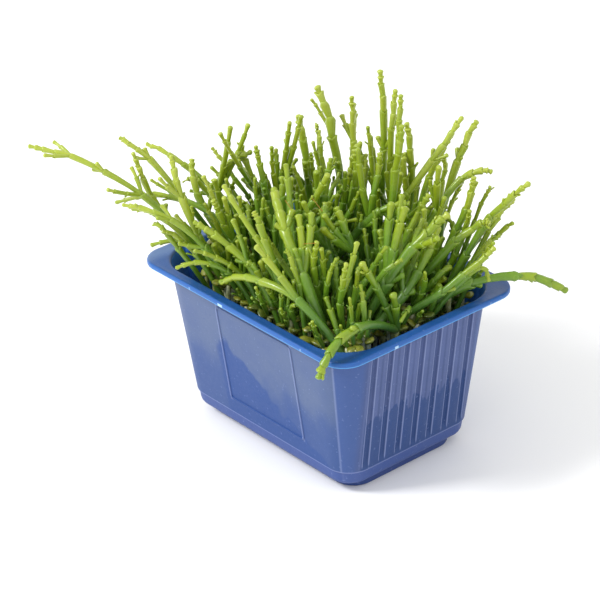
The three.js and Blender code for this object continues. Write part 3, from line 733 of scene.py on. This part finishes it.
def stations_of(path, joints):
    """Where each segment of the finished shoot starts and ends; shorter towards the tip."""
    marks = [joint_at(path, joints, j) for j in range(joints + 1)]
    stations = []
    for j, (low, high) in enumerate(zip(marks, marks[1:])):
        span = high - low
        shares = (1.0,)
        if j == joints - 1 and span > LONG_END:
            shares = (0.46, 0.31, 0.23) if span > VERY_LONG_END else (0.58, 0.42)
        elif j == joints - 2 and span > LONG_BEFORE:
            shares = (0.55, 0.45)
        for share in shares:
            stations.append((low, low + share * span, j + 1 if share == shares[-1] else None))
            low += share * span
    return stations


def slim(plant, s):
    """How thick the trunk is at a station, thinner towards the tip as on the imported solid."""
    share = 1 - (1 - min(s / plant["path"].length, 1)) ** (1 / SHORTENING)
    return plant["girth"] * (1 - THINNING * share ** 2)


def part_for(span, last):
    """Long segments have a cup, short ones near the tip are beads, and a knob ends the shoot."""
    return tip if last else bead if span < BEAD_BELOW else segment


# %% Chains of segments along a side shoot
SUNK = 0.55  # how deep a segment's foot sits in the cup below it


def sunk(low, high):
    return min(SUNK, 0.25 * (high - low))


def lay_chain(branch, radius, cuts, ages, dice, buds=0.0):
    """A side shoot's segments between the cuts, with a bud here and there."""
    parts = []
    turn = dice.uniform(0, math.pi)
    for i, (low, high) in enumerate(zip(cuts, cuts[1:])):
        last = i == len(cuts) - 2
        thick = radius * (1.1 - 0.2 * i / len(cuts)) * dice.uniform(0.94, 1.06)
        pair = [ages[0] + (ages[1] - ages[0]) * s / branch.length for s in (low, high)]
        start = low - (sunk(low, high) if i else 0)
        parts.append(lay(part_for(high - low, last), branch, start, high, thick, turn,
                         cup=dice.uniform(0.9, 1.5), age=pair, shade=dice.random()))
        turn += math.pi / 2 + dice.uniform(-0.2, 0.2)
        for half in (0, 1):
            if not last and dice.random() < buds:
                parts += lay_bud(branch, high, thick, turn + half * math.pi, pair[1], dice)
    return parts


def cuts_of(length, step):
    """Where a side shoot is jointed: the segments get shorter to the tip."""
    count = max(1, round(length / step))
    return [length * (1 - (1 - i / count) ** 1.35) for i in range(count + 1)]


# %% One whole plant
KINK = 0.75  # the largest step aside at a joint; a tenth of it for each millimetre of segment
# The length of a side shoot's segments, how young its tip is, and its share of buds.
HIGH_SHOOTS, LOW_SHOOTS = (4.4, 0.6, 0.12), (7.4, 1.0, 0.22)


def lay_plant(plant):
    dice = random.Random(100 + plant["number"])
    path, joints = plant["path"], plant["joints"]
    marks = [joint_at(path, joints, j) for j in range(joints + 1)]
    stations = stations_of(path, joints)
    # The real shoot turns a little at each joint, so the path gets a small kink there.
    ends = np.array([0.0] + [high for _, high, _ in stations])
    sizes = np.minimum(KINK, 0.1 * KINK * np.diff(ends, append=ends[-1]))
    kinks = np.array([[dice.uniform(-1, 1) for _ in range(3)] for _ in ends]) * sizes[:, None]
    kinks[0] = kinks[-1] = 0
    path.kinks = (ends, kinks)
    shift_at = [np.array([np.interp(mark, ends, kinks[:, i]) for i in range(3)]) for mark in marks]
    parts = []
    turn = 0.0
    for i, (low, high, joint) in enumerate(stations):
        last = i == len(stations) - 1
        turn = plant["turns"].get(joint, turn + math.pi / 2 + dice.uniform(-0.2, 0.2))
        radius = slim(plant, high) * dice.uniform(0.94, 1.05)
        start = low - (sunk(low, high) if i else -0.1)
        parts.append(lay(part_for(high - low, last), path, start, high, radius, turn,
                         cup=dice.uniform(0.85, 1.6), age=(low / path.length, high / path.length),
                         shade=dice.random()))
        taken = {half for j, half, _, _ in plant["branches"] if j == joint and joint}
        for half in (0, 1):
            if not last and half not in taken and dice.random() < 0.5 - 0.3 * high / path.length:
                parts += lay_bud(path, high, radius, turn + half * math.pi, low / path.length, dice)
    side_shoots = [(j, branch, radius, *HIGH_SHOOTS) for j, _, branch, radius in plant["branches"]]
    side_shoots += [(j, branch, radius, *LOW_SHOOTS) for j, branch, radius in plant["low"]]
    for j, branch, radius, step, young, buds in side_shoots:
        branch.kinks = (np.array((0, branch.length)), np.array((shift_at[j], shift_at[j] * 0)))
        share = marks[j] / path.length
        ages = (share, share + young * (1 - share))
        parts += lay_chain(branch, radius, cuts_of(branch.length, step), ages, dice, buds)
    return parts + lay_foot(plant, dice)


# %% A bud in a lip
BUD_LENGTHS = (0.8, 1.0, 1.3, 1.7, 2.6)


def lay_bud(path, s, radius, turn, share, dice):
    """A short bud or a stub of a shoot in one lip of a cup."""
    middle, ahead, side, other = (value[0] for value in path.along(s - 0.5))
    out = side * math.cos(turn) + other * math.sin(turn)
    length = dice.choice(BUD_LENGTHS) * (1 - 0.35 * share)
    lean = dice.uniform(0.35, 0.75)
    first = ahead * math.cos(lean) + out * math.sin(lean)
    start = middle + out * radius * 0.42
    end = start + first * (length + radius * 0.4)
    little = Path(start, (start + end) / 2 + out * 0.1, end, length + radius * 0.4,
                  unit(np.cross(out, ahead)))
    thick = radius * dice.uniform(0.34, 0.46)
    return [lay(bud, little, 0, little.length, thick, age=(share, min(share + 0.3, 1)), shade=dice.random())]


# %% The lower stem and the seed leaves at the collar
INTO_SHOOT = 0.9  # how far the stem's top sits in the shoot


def lay_foot(plant, dice):
    """The pale lower stem, and two fleshy seed leaves that curl down from the collar."""
    foot = plant["path"].start
    root = np.array((foot[0], foot[1], ROOT_END))
    middle = (root + foot) / 2
    buried, above = MEDIUM["top"] - ROOT_END, foot[2] - MEDIUM["top"]
    girth = dice.uniform(0.72, 0.98)
    top = foot + (0, 0, INTO_SHOOT)
    below = Path(root, middle, top, top[2] - ROOT_END, np.array((1.0, 0.2, 0.0)))
    bulge = np.zeros((4, 3))
    bulge[2, :2] = dice.uniform(-0.35, 0.35), dice.uniform(-0.35, 0.35)
    below.kinks = (np.array((0, buried, buried + above * 0.5, foot[2] - ROOT_END)), bulge)
    parts = [lay(stem, below, 0, below.length, girth, age=(0, 0), tissue=STEM, shade=dice.random())]
    turn, reach = plant["leaves"]
    for way in (-1, 1):
        flat = np.array((math.cos(turn), math.sin(turn), 0)) * way
        far = reach * dice.uniform(0.95, 1.25)
        curl = dice.uniform(0.2, 2.4)
        start = foot + flat * 0.25 + (0, 0, -0.15)
        leaf = Path(start, foot + flat * far * 0.8 + (0, 0, 2.2), foot + flat * far + (0, 0, -curl),
                    far * 1.2, np.array((0.0, 0.0, 1.0)))
        parts.append(lay(seed_leaf, leaf, 0, leaf.length, dice.uniform(1.4, 1.9),
                         math.pi / 2 + dice.uniform(-0.5, 0.5), age=(0, 0), tissue=LEAF, shade=dice.random()))
    return parts


# %% [markdown]
# ## Young seedlings between the plants
#
# The real tuft is so dense that the tray's inside hardly shows through it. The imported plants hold
# its shape; thinner seedlings that the solids leave out come up between them. To place them by
# hand would take hours, so they are sown: each lies along its nearest plants, a little shorter,
# and is kept where a map of small cells says that its whole path is free.

# %% A map of the space that the shoots take
CELL, MARGIN, HALF_WIDTH = 0.8, 6, 0.75
LOW_CORNER, HIGH_CORNER = (np.array(corner) / MM for corner in CAD_BOX)
MAP_LOW = LOW_CORNER - MARGIN
MAP_SIZE = np.ceil((HIGH_CORNER + MARGIN - MAP_LOW) / CELL).astype(int)
space = np.zeros(MAP_SIZE, dtype=bool)


def cells(points):
    return np.clip(((points - MAP_LOW) / CELL).astype(int), 0, MAP_SIZE - 1)


def ball(radius):
    """The offsets of all cells within a radius in millimetres."""
    n = int(radius / CELL) + 1
    steps = np.mgrid[-n:n + 1, -n:n + 1, -n:n + 1].reshape(3, -1).T
    return steps[np.linalg.norm(steps * CELL, axis=1) <= radius]


def middle_of(path):
    """Points along a path, a cell or less apart."""
    return path.along(np.linspace(0, path.length, int(path.length / CELL) + 2))[0]


def take(path, radius):
    """Marks the cells that a shoot takes, with the half width of a seedling beside it."""
    around = cells(middle_of(path))[:, None] + ball(radius + HALF_WIDTH)[None]
    near = np.clip(around, 0, MAP_SIZE - 1).reshape(-1, 3)
    space[near[:, 0], near[:, 1], near[:, 2]] = True


for plant in plants:
    take(plant["path"], plant["girth"])
    for *_, branch, radius in plant["branches"] + plant["low"]:
        take(branch, radius)
print("share of the map taken:", round(float(space.mean()), 3))

# %% A seedling that leans as its neighbours do
FEET = np.array([plant["path"].start for plant in plants])
SOWN_X, SOWN_Y, COLLARS = 38, 27.5, (44, 50)  # half the area that is sown, and the collars' heights
sow = random.Random(7)


def sown():
    """One seedling that leans as its two nearest plants do."""
    foot = np.array((sow.uniform(-SOWN_X, SOWN_X), sow.uniform(-SOWN_Y, SOWN_Y), sow.uniform(*COLLARS)))
    near = np.argsort(np.linalg.norm(FEET[:, :2] - foot[:2], axis=1))[:2]
    share, tall = sow.random(), sow.uniform(0.5, 0.92)
    half, end = np.zeros(3), np.zeros(3)
    for weight, other in zip((share, 1 - share), near):
        path = plants[other]["path"]
        middle = 0.25 * path.start + 0.5 * path.bend + 0.25 * path.end
        half += weight * tall * (middle - path.start)
        end += weight * tall * (path.end - path.start)
    half = foot + half + [sow.uniform(-3, 3) for _ in range(3)]
    end = foot + end + [sow.uniform(-5, 5) for _ in range(3)]
    return through(foot, half, end)


# %% The rule that says where a seedling may stand
# Half the room at the rim and at the roots, its corner radii, and the corner that stays open.
ROOM = {"rim": (42.4, 30.4, 11), "roots": (38.7, 26.7, 9), "open": (-25, -3)}
CLEAR = 1.5  # how far a seedling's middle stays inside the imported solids' box


def within(points, place):
    """Whether all points are inside a rounded outline of the tray's room."""
    a, b, corner = ROOM[place]
    past = np.maximum(np.abs(points[:, :2]) - (a - corner, b - corner), 0)
    return bool((np.linalg.norm(past, axis=1) <= corner).all())


def has_room(path, shortest=14, lowest=54):
    """Whether a path is free, in the box, clear of the wall and not in the corner left open."""
    middle = middle_of(path)
    at = cells(middle)
    return (not (path.start[:2] < ROOM["open"]).all() and within(path.start[None], "roots")
            and within(middle[middle[:, 2] < RIM["top"] + 1.8], "rim")
            and not (middle < LOW_CORNER + CLEAR).any() and not (middle > HIGH_CORNER - CLEAR).any()
            and path.length >= shortest and path.end[2] >= lowest
            and not space[at[:, 0], at[:, 1], at[:, 2]].any())


# %% The seedlings that fit
TRIES, MOST = 6000, 130
seedlings = []


def keep(path, girths, reaches, joints):
    """Keeps a seedling, and marks its room as taken."""
    girth = sow.uniform(*girths)
    take(path, girth)
    leaves = (sow.uniform(0, math.pi), sow.uniform(*reaches))
    seedlings.append({"path": path, "joints": joints, "girth": girth, "leaves": leaves, "turns": {},
                      "branches": [], "low": [], "number": 200 + len(seedlings)})


for _ in range(TRIES):
    path = sown()
    if len(seedlings) < MOST and has_room(path):
        keep(path, (0.9, 1.15), (3.0, 4.6), max(3, round(path.length / 12)))
print(len(seedlings), "seedlings")

# %% [markdown]
# The gaps beside the wall show seed leaves and the first joints of late seedlings. The rule above
# leaves these gaps empty, because a long shoot would cross the rim there. So shorter seedlings are
# sown in a ring along the wall, with their collars near the height of the rim.

# %% Small seedlings beside the wall, where the seed leaves show
MOST_SMALL, RING_X, RING_Y, HIGH_COLLARS = 80, 39, 27.5, (50, 54.5)


def sown_by_wall():
    """A short seedling a few millimetres from the wall, with its collar near the rim."""
    turn = sow.uniform(0, 2 * math.pi)
    edge = np.array((math.cos(turn), math.sin(turn)))
    far = 1 / max(abs(edge[0]) / RING_X, abs(edge[1]) / RING_Y)
    foot = np.array((*(edge * (far - sow.uniform(0, 5))), sow.uniform(*HIGH_COLLARS)))
    length = sow.uniform(6, 17)
    lean = np.array((sow.uniform(-0.4, 0.4), sow.uniform(-0.4, 0.4), 1.0)) + 0.2 * np.array((*edge, 0))
    half = foot + unit(lean) * length * 0.5
    end = half + unit(lean + [sow.uniform(-0.4, 0.4), sow.uniform(-0.4, 0.4), 0]) * length * 0.5
    return through(foot, half, end, 0.1)


tall = len(seedlings)
for _ in range(TRIES):
    path = sown_by_wall()
    if len(seedlings) < tall + MOST_SMALL and has_room(path, 6, 50):
        keep(path, (0.75, 1.0), (3.8, 5.0), 3 if path.length > 10 else 2)
print(len(seedlings) - tall, "small seedlings")

# %% [markdown]
# ## Fine threads
#
# A few dry orange fibres, about a tenth as thick as a shoot, are caught on the tuft. A line in the
# material would stick to one shoot, but a fibre spans the gap between two. So each is a thin
# turned part on a slack curve, between two places where a line of sight meets the tuft.

# %% The threads, between places on the tuft
PICTURE = 600


def on_tuft(across, down):
    """Where the line of sight through a point of a picture 600 wide first meets a taken cell."""
    wide = PICTURE * LENS / SENSOR
    sight = right * (across - PICTURE / 2) / wide - up * (down - PICTURE / 2) / wide - back
    points = np.array(camera.location) / MM + np.arange(600, 900, 0.3)[:, None] * np.array(sight)
    at = cells(points)
    return points[space[at[:, 0], at[:, 1], at[:, 2]]][0]


threads = []
for start, end in (((285, 200), (292, 210)), ((303, 244), (317, 243)), ((312, 198), (323, 212))):
    first, last = on_tuft(*start), on_tuft(*end)
    length = np.linalg.norm(last - first)
    slack = (first + last) / 2 + np.array(back) * 0.8
    curve = Path(first, slack, last, length, unit(np.cross(last - first, np.array(up))))
    threads.append(lay(thread, curve, 0, length, 0.11, tissue=THREAD))
    print("thread of", round(float(length), 1), "mm")

# %% [markdown]
# ## Each plant becomes one piece
#
# A real plant grew as one piece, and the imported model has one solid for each, so the laid parts
# of a plant are joined into one mesh that takes its solid's place. A Boolean union would melt
# them together, but where one segment sits in the cup of another the sharp crease is real. The
# seedlings stand for no solid, so those of one patch of the tray make up one bed.

# %% All plants, each joined into one piece
def join_parts(parts, name):
    """Joins the laid parts into one named piece that rides on the object."""
    piece = joined(parts, parts[0])
    piece.name = piece.data.name = name
    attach(piece, "root")
    return piece


shoots = []
for plant in plants:
    name = f"samphire_plant_{plant['number'] + 1:02d}"
    piece = join_parts(lay_plant(plant), f"{name}_shoots")
    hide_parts(name)
    shoots.append(piece)
beds = {}
for seedling in seedlings:
    x, y, _ = seedling["path"].start
    beds.setdefault((int((x + 40) / 20), y > 0), []).append(seedling)
for number, key in enumerate(sorted(beds)):
    parts = [part for seedling in beds[key] for part in lay_plant(seedling)]
    shoots.append(join_parts(parts, f"young_seedlings_{number + 1}"))
shoots.append(join_parts(threads, "fine_threads"))
for part in PARTS:
    bpy.data.objects.remove(part)
print("shoots:", len(shoots), "pieces,", sum(triangles_of(piece) for piece in shoots), "triangles;",
      "least volume", round(min(volume(piece) for piece in shoots) / MM ** 3, 2), "mm3")

# %% [markdown]
# ## Finishes
#
# Colours here are worked out by shader nodes. Written one node at a time they are hard to read,
# so `Value` wraps a node's output and lets ordinary sums add the Math nodes, and `Finish` is one
# material with a method that adds any other node.

# %% A wrapper that turns sums into Math nodes
def linear(hex_colour):
    """A colour such as 7c8bb5 as the linear numbers that the shader takes."""
    parts = [int(hex_colour[i:i + 2], 16) / 255 for i in (0, 2, 4)]
    return tuple(c / 12.92 if c <= 0.04045 else ((c + 0.055) / 1.055) ** 2.4 for c in parts) + (1.0,)


class Value:
    """A number that varies over the surface; sums with it add Math nodes."""

    def __init__(self, finish, socket):
        self.finish, self.socket = finish, socket

    def sum(self, operation, first, second=0.0):
        node = self.finish.node("ShaderNodeMath", {"operation": operation}, [first, second])
        return Value(self.finish, node.outputs[0])

    def __add__(self, other):
        return self.sum("ADD", self, other)

    def __sub__(self, other):
        return self.sum("SUBTRACT", self, other)

    def __rsub__(self, other):
        return self.sum("SUBTRACT", other, self)

    def __mul__(self, other):
        return self.sum("MULTIPLY", self, other)

    def __truediv__(self, other):
        return self.sum("DIVIDE", self, other)

    def __pow__(self, other):
        return self.sum("POWER", self, other)

    def __abs__(self):
        return self.sum("ABSOLUTE", self)

    def most(self, other):
        return self.sum("MAXIMUM", self, other)

    __radd__ = __add__
    __rmul__ = __mul__


print("a mid grey is", [round(c, 3) for c in linear("808080")])


# %% One material, with a method for each kind of node
class Finish:
    """One material, with its shader's sockets set by name."""

    def __init__(self, name, **constants):
        self.material = bpy.data.materials.new(name)
        self.material.use_nodes = True
        self.nodes = self.material.node_tree.nodes
        self.links = self.material.node_tree.links
        self.shader = self.nodes["Principled BSDF"]
        for socket, value in constants.items():
            self.shader.inputs[socket.replace("_", " ")].default_value = value
        self.place = self.node("ShaderNodeTexCoord").outputs["Object"]

    def node(self, kind, settings=None, inputs=None):
        """Adds a node, sets it up, and gives its sockets values or links, by number or name."""
        node = self.nodes.new(kind)
        for key, value in (settings or {}).items():
            setattr(node, key, value)
        pairs = inputs.items() if isinstance(inputs, dict) else enumerate(inputs or [])
        for key, value in pairs:
            if isinstance(value, Value):
                value = value.socket
            if isinstance(value, bpy.types.NodeSocket):
                self.links.new(value, node.inputs[key])
            else:
                node.inputs[key].default_value = value
        return node

    def number(self, attribute):
        """A number that the piece's corners carry."""
        return Value(self, self.node("ShaderNodeAttribute", {"attribute_name": attribute}).outputs["Fac"])

    def xyz(self):
        """The place on the piece in millimetres, as three values."""
        parts = self.node("ShaderNodeSeparateXYZ", inputs=[self.place]).outputs
        return [Value(self, part) * (1 / MM) for part in parts]

    def noise(self, size, detail=3.0, stretch=(1, 1, 1), rough=0.55):
        """A noise from 0 to 1 whose spots are about `size` millimetres across."""
        place = self.place
        if stretch != (1, 1, 1):
            place = self.node("ShaderNodeVectorMath", {"operation": "MULTIPLY"}, [place, stretch]).outputs[0]
        node = self.node("ShaderNodeTexNoise", inputs={"Vector": place, "Scale": 1 / (size * MM),
                                                       "Detail": detail, "Roughness": rough})
        return Value(self, node.outputs["Fac"])

    def step(self, value, low, high):
        """A soft step from 0 at `low` to 1 at `high`."""
        node = self.node("ShaderNodeMapRange", {"interpolation_type": "SMOOTHSTEP"},
                         {"Value": value, "From Min": low, "From Max": high, "To Min": 0.0, "To Max": 1.0})
        return Value(self, node.outputs[0])

    def mix(self, share, first, second):
        """A colour between two others; each is a hex word or an earlier mix."""
        pair = [linear(c) if isinstance(c, str) else c for c in (first, second)]
        node = self.node("ShaderNodeMix", {"data_type": "RGBA", "clamp_factor": True},
                         {0: share, 6: pair[0], 7: pair[1]})
        return node.outputs[2]

    def layers(self, colour, *tints):
        """Lays tints over a colour, one after the other, each with its share."""
        for share, tint in tints:
            colour = self.mix(share, colour, tint)
        return colour

    def set(self, socket, value):
        self.links.new(value.socket if isinstance(value, Value) else value, self.shader.inputs[socket])

    def bump(self, height, depth):
        """Raises the surface in its shading by up to `depth` millimetres."""
        node = self.node("ShaderNodeBump", inputs={"Strength": 1.0, "Distance": depth * MM, "Height": height})
        self.links.new(node.outputs[0], self.shader.inputs["Normal"])

    def give(self, *pieces):
        for piece in pieces:
            piece.data.materials.clear()
            piece.data.materials.append(self.material)


# %% [markdown]
# ### Blue tray plastic
#
# The sheet is tinted blue right through. Outside it is a milky, satin blue, and a deeper, clearer
# blue low on the long wall, with a wavy upper edge, and low in the flutes. The flange is glossier
# and more saturated. All of that depends on the place on the tray, so it is painted by place, with
# noise at the edges of the patches. Thin pale lines along the crease, the ledge, the flutes, the
# panel frames and the rim's lip are painted highlights, with painted glints on the lip and a
# painted sheen on the flange's left end; the foot is painted darker as painted shade, and the
# inside wall is painted a brighter blue as painted light.

# %% The tray's plastic: its clouds and the long walls
PATCH = {"x": -12, "z": 36, "fall": 0.6, "left": -17.5}
FLUTE_DARK_TOP = 28
plastic = Finish("blue_tray_plastic", Roughness=0.38, IOR=1.46)
step, mix, spots = plastic.step, plastic.mix, plastic.noise
x, y, z = plastic.xyz()
cloud = spots(16, 4)
fine = spots(1.1, 2)
grain = spots(0.35, 2)
# The long walls end at a crease; they are a milky blue above and a deeper, clearer blue in a patch below.
crease = abs(x) - (34.6 + z * 0.066)
beside_short = step(abs(y), 20, 24)
on_long = step(crease, 0.6, -0.3) * beside_short
wave = spots(9, 3, (1, 0.2, 0.6))
patch_top = PATCH["z"] - abs(x - PATCH["x"]) * PATCH["fall"] + (wave - 0.5) * 16
low_dark_long = step(patch_top - z, -0.8, 1.6) * step(PATCH["left"] - x, 3, -1)
lower_dark = step(28 + (wave - 0.5) * 20 - z, -7, 7) * 0.75
low_dark_long = low_dark_long.most(lower_dark)
milky = mix(step(cloud + fine * 0.2, 0.35, 0.8), "465a85", "4f6186")
long_colour = mix(low_dark_long, milky, "1e4382")
print("the patch is highest at x", PATCH["x"], "z", PATCH["z"])

# %% The short walls, the corners and the foot
BELT_TOP, FOOT_TOP = 8.4, 3.6
flute = spots(3.0, 3, (1, 1, 0.3))
beside = y.sum("PINGPONG", y, FLUTE_PITCH / 2)
fluted = step(abs(x), 30, 31) * step(22.4 - abs(y), 0, 0.5) * step(z, 9, 10.5)
# The flutes are a deeper, clearer blue below a wavy line.
low_dark_short = step(FLUTE_DARK_TOP + (flute - 0.5) * 16 - z, -0.4, 0.8) * step(21.5 - abs(y), -0.5, 0.5)
short_colour = plastic.layers(
    mix(step(cloud, 0.35, 0.7), "36497a", "405284"),
    (fluted * step(abs(beside - 2.2), 0.9, 0.5) * 0.35, "5d6c9c"),
    (low_dark_short * 0.95, "1b3c74"),
    # The thin pale line along each flute's edge is a painted highlight.
    (fluted * step(abs(beside - 1.25), 0.3, 0.05) * 0.6, "8794c0"),
    (step(abs(y), 21.5, 24.5) * 0.8, "35538f"))
frame_x = abs(abs(x + y.sum("SIGN", y) * PANEL["off"]) - (PANEL["width"] - PANEL["line"]) / 2)
# The thin pale line along each panel frame is a painted highlight.
frame_highlight = step(frame_x, 0.6, 0.2) * step(abs(z - panel_middle), 18.4, 17.9) * beside_short
outside = plastic.layers(
    mix(on_long, short_colour, long_colour),
    # The thin pale line along the crease is a painted highlight.
    (step(abs(crease), 0.45, 0.1) * beside_short * 0.35, "8694c0"),
    (step(BELT_TOP - z, 0, 0.4) * 0.75, "3a5190"),
    # The thin pale line at the ledge over the belt is a painted highlight.
    (step(abs(z - BELT_TOP), 0.35, 0.1) * 0.5, "8391c4"),
    # The foot is painted darker: painted shade under the belt.
    (step(FOOT_TOP - z, 0, 0.4) * 0.8, "223a74"),
    (frame_highlight * 0.35, "8c9ac8"))
print("walls, belt and foot:", len(plastic.nodes), "nodes so far")

# %% The flange, its turned edge with a painted highlight and glints, and the wall inside, painted lighter
flange = plastic.layers(
    mix(step(cloud, 0.3, 0.75), "15488a", "1a5094"),
    # The pale, cloudy patch at the flange's left end is a painted sheen.
    (step(0 - x, 41, 47) * step(cloud, 0.2, 0.6) * 0.5, "7d97c0"))
past_x, past_y = (abs(x) - (RIM["a"] - RIM["r"])).most(0), (abs(y) - (RIM["b"] - RIM["r"])).most(0)
edge = step((past_x ** 2 + past_y ** 2) ** 0.5, RIM["r"] - 0.5, RIM["r"] - 0.1)
# The pale line on the turned lip is a painted highlight, and the bright spots along it are painted glints.
lip_highlight = edge * step(z, 54.1, 53.8) * step(z, 53.2, 53.4)
lip_glints = step(spots(4.5, 1, (1, 1, 0.1)), 0.66, 0.7) * step(z, 53.4, 53.6) * step(z, 54.7, 54.4)
# The inside wall is painted a much brighter blue: painted light that lifts the shade inside the tray.
painted_inside_light = plastic.number("inside") * step(54.6 - z, 0, 0.5)
body = plastic.layers(
    mix(step(z, 53.9, 54.3), outside, flange),
    (edge * step(z, 53.3, 53.5) * 0.9, "1c5ba6"),
    (lip_highlight * 0.8, "4f9bdc"),
    (edge * lip_glints * 0.8, "b8dcf4"),
    (painted_inside_light, mix(step(cloud, 0.3, 0.7), "2c66d6", "4a8cf0")),
    (step(spots(0.9, 1), 0.68, 0.74) * 0.18, "8fa3d0"),
    (step(spots(1.3, 1), 0.7, 0.76) * 0.3, "2a4484"))
plastic.set("Base Color", body)
plastic.set("Roughness", 0.5 - 0.18 * step(z, 53.9, 54.4) + (fine - 0.5) * 0.2)
plastic.bump(cloud * 0.6 + grain * 0.06, 0.35)
plastic.give(tray)
print("the tray's plastic has", len(plastic.nodes), "nodes")

# %% [markdown]
# ### Dark medium
#
# The medium is peat with coarse fibres in it, nearly black where it is damp. It could be one dark
# colour, but its lighter fibres show between the stems. So a coarse noise makes the clumps and
# one that is stretched along X makes the fibres, and both also raise the surface.

# %% The medium's finish
peat = Finish("dark_medium", Roughness=0.85)
clumps = peat.noise(2.2, 5)
fibres = peat.noise(0.7, 4, (0.35, 1, 1))
colour = peat.mix(peat.step(clumps, 0.35, 0.7), "0f0e08", "231c10")
colour = peat.mix(peat.step(fibres, 0.6, 0.72) * 0.5, colour, "3d331c")
peat.set("Base Color", colour)
peat.bump(clumps + fibres * 0.5, 0.8)
peat.give(medium)
print("the medium's finish has", len(peat.nodes), "nodes")

# %% [markdown]
# ### Fleshy shoots
#
# The shoots hold water, so light goes a little way into them, and a waxy skin gives them long
# pale highlights; pale streaks along the shoots add painted highlights. The colour runs from deep
# green low in the tuft to yellow green at the tips; each cup has a thin pale rim. The young tips
# are lighter, and besides that the tuft is painted darker low down, in its middle and on its right
# as painted shade, and lighter at its outside as painted light. Seed leaves have turned olive and
# the lower stems are bleached. The colours follow the numbers that each corner took along, and
# the place in the tuft.

# %% The shoots' finish: deep green inside to yellow green outside, with painted shade and light
flesh = Finish("samphire_flesh", Roughness=0.36, IOR=1.42, Subsurface_Weight=0.12, Subsurface_Scale=0.0012)
flesh.shader.inputs["Subsurface Radius"].default_value = (0.7, 1.0, 0.25)
flesh.shader.inputs["Coat Roughness"].default_value = 0.16
flesh.shader.inputs["Coat Weight"].default_value = 0.28
x, y, z = flesh.xyz()
age, rise, tissue, shade = (flesh.number(name) for name in ("age", "rise", "tissue", "shade"))
step, mix, spots = flesh.step, flesh.mix, flesh.noise
mottle = spots(1.6, 3)
# Streaks along the shoots: a slight relief in the bump, and painted highlights in the colour.
ridges_and_highlights = spots(0.5, 2, (1, 1, 0.3))
# Painted shade and light: the shoots are painted darker low down, in the middle of the tuft and on its right
# side, and lighter at its outside.
height = step(z, 46, 96)
reach = ((x / 46) ** 2 + (y / 33) ** 2) ** 0.5
outer_light = step(reach, 0.55, 1.25)
core = step(reach, 0.75, 0.25)
shaded = (core * 0.24 + step(x, 5, 38) * 0.14) * (1.4 - age)
uneven = (shade - 0.5) * 0.26 + (mottle - 0.5) * 0.3
# young holds the tips' real youth and, with it, this painted shade and light.
young = height * 0.44 + age * 0.56 - 0.04 + outer_light * 0.26 - shaded + uneven
green = flesh.layers(
    mix(step(young, 0.05, 0.5), "4a7322", "64891a"),
    (step(young, 0.4, 0.85), "8b9f1e"),
    (step(young, 0.8, 1.15), "a5b23c"),
    (step(rise, 0.86, 1.0) * 0.1, "a9bf6c"),
    (step(rise, 0.12, 0.0) * 0.12, "a4b870"),
    # The pale streaks are painted highlights.
    (step(ridges_and_highlights, 0.55, 0.8) * 0.25, "a3b765"))
print("green tissue:", len(flesh.nodes), "nodes so far")

# %% Olive seed leaves, bleached stems, and a waxy skin
olive = mix(step(mottle + (shade - 0.5) * 0.5, 0.3, 0.75), "4f5f18", "868a2c")
bleach = spots(0.8, 3, (1, 1, 0.4)) + (shade - 0.5) * 0.5
pale = mix(step(bleach, 0.35, 0.75), "949c58", "dadfbc")
is_leaf, is_stem, is_thread = (step(tissue, low, low + 0.1) for low in (0.2, 0.7, 1.4))
colour = flesh.layers(green, (is_leaf, olive), (is_stem, pale), (is_thread, "9a6a1c"))
flesh.set("Base Color", colour)
flesh.set("Roughness", 0.32 + (mottle - 0.5) * 0.2 + is_stem * 0.15)
flesh.bump(mottle * 0.6 + ridges_and_highlights * 0.25, 0.18)
flesh.give(*shoots)
print("the shoots' finish has", len(flesh.nodes), "nodes")

# %% [markdown]
# ## Floor and light
#
# The floor is plain and pale. One soft lamp stands to the left, since the long wall is the
# lighter one, a larger and weaker one fills from the right, and a white world does the rest.

# %% Floor, lamps and world
begin()
bpy.ops.mesh.primitive_plane_add(size=6, location=(0, 0, 0))
floor = bpy.context.object
floor.name = "floor"
paper = Finish("pale_floor", Roughness=0.9)
paper.set("Base Color", paper.mix(paper.noise(300, 2), "f4f4f4", "fafafa"))
paper.give(floor)


def lamp(name, place, width, power):
    light = bpy.data.lights.new(name, "AREA")
    light.shape, light.size, light.energy = "SQUARE", width, power
    stand = bpy.data.objects.new(name, light)
    stand.location = place
    stand.rotation_mode = "QUATERNION"
    stand.rotation_quaternion = (Vector(place) - TARGET).to_track_quat("Z", "Y")
    bpy.context.collection.objects.link(stand)


lamp("soft_lamp_left", (-0.35, -0.7, 0.75), 0.26, 8)
lamp("soft_lamp_right", (0.9, 0.1, 0.6), 0.6, 1.0)
world = bpy.data.worlds.new("white_room")
world.use_nodes = True
world.node_tree.nodes["Background"].inputs["Color"].default_value = (1, 1, 1, 1)
world.node_tree.nodes["Background"].inputs["Strength"].default_value = 1.0
bpy.context.scene.world = world
bpy.context.scene.view_settings.view_transform = "Standard"
print("lamps:", [light.name for light in bpy.data.lights])
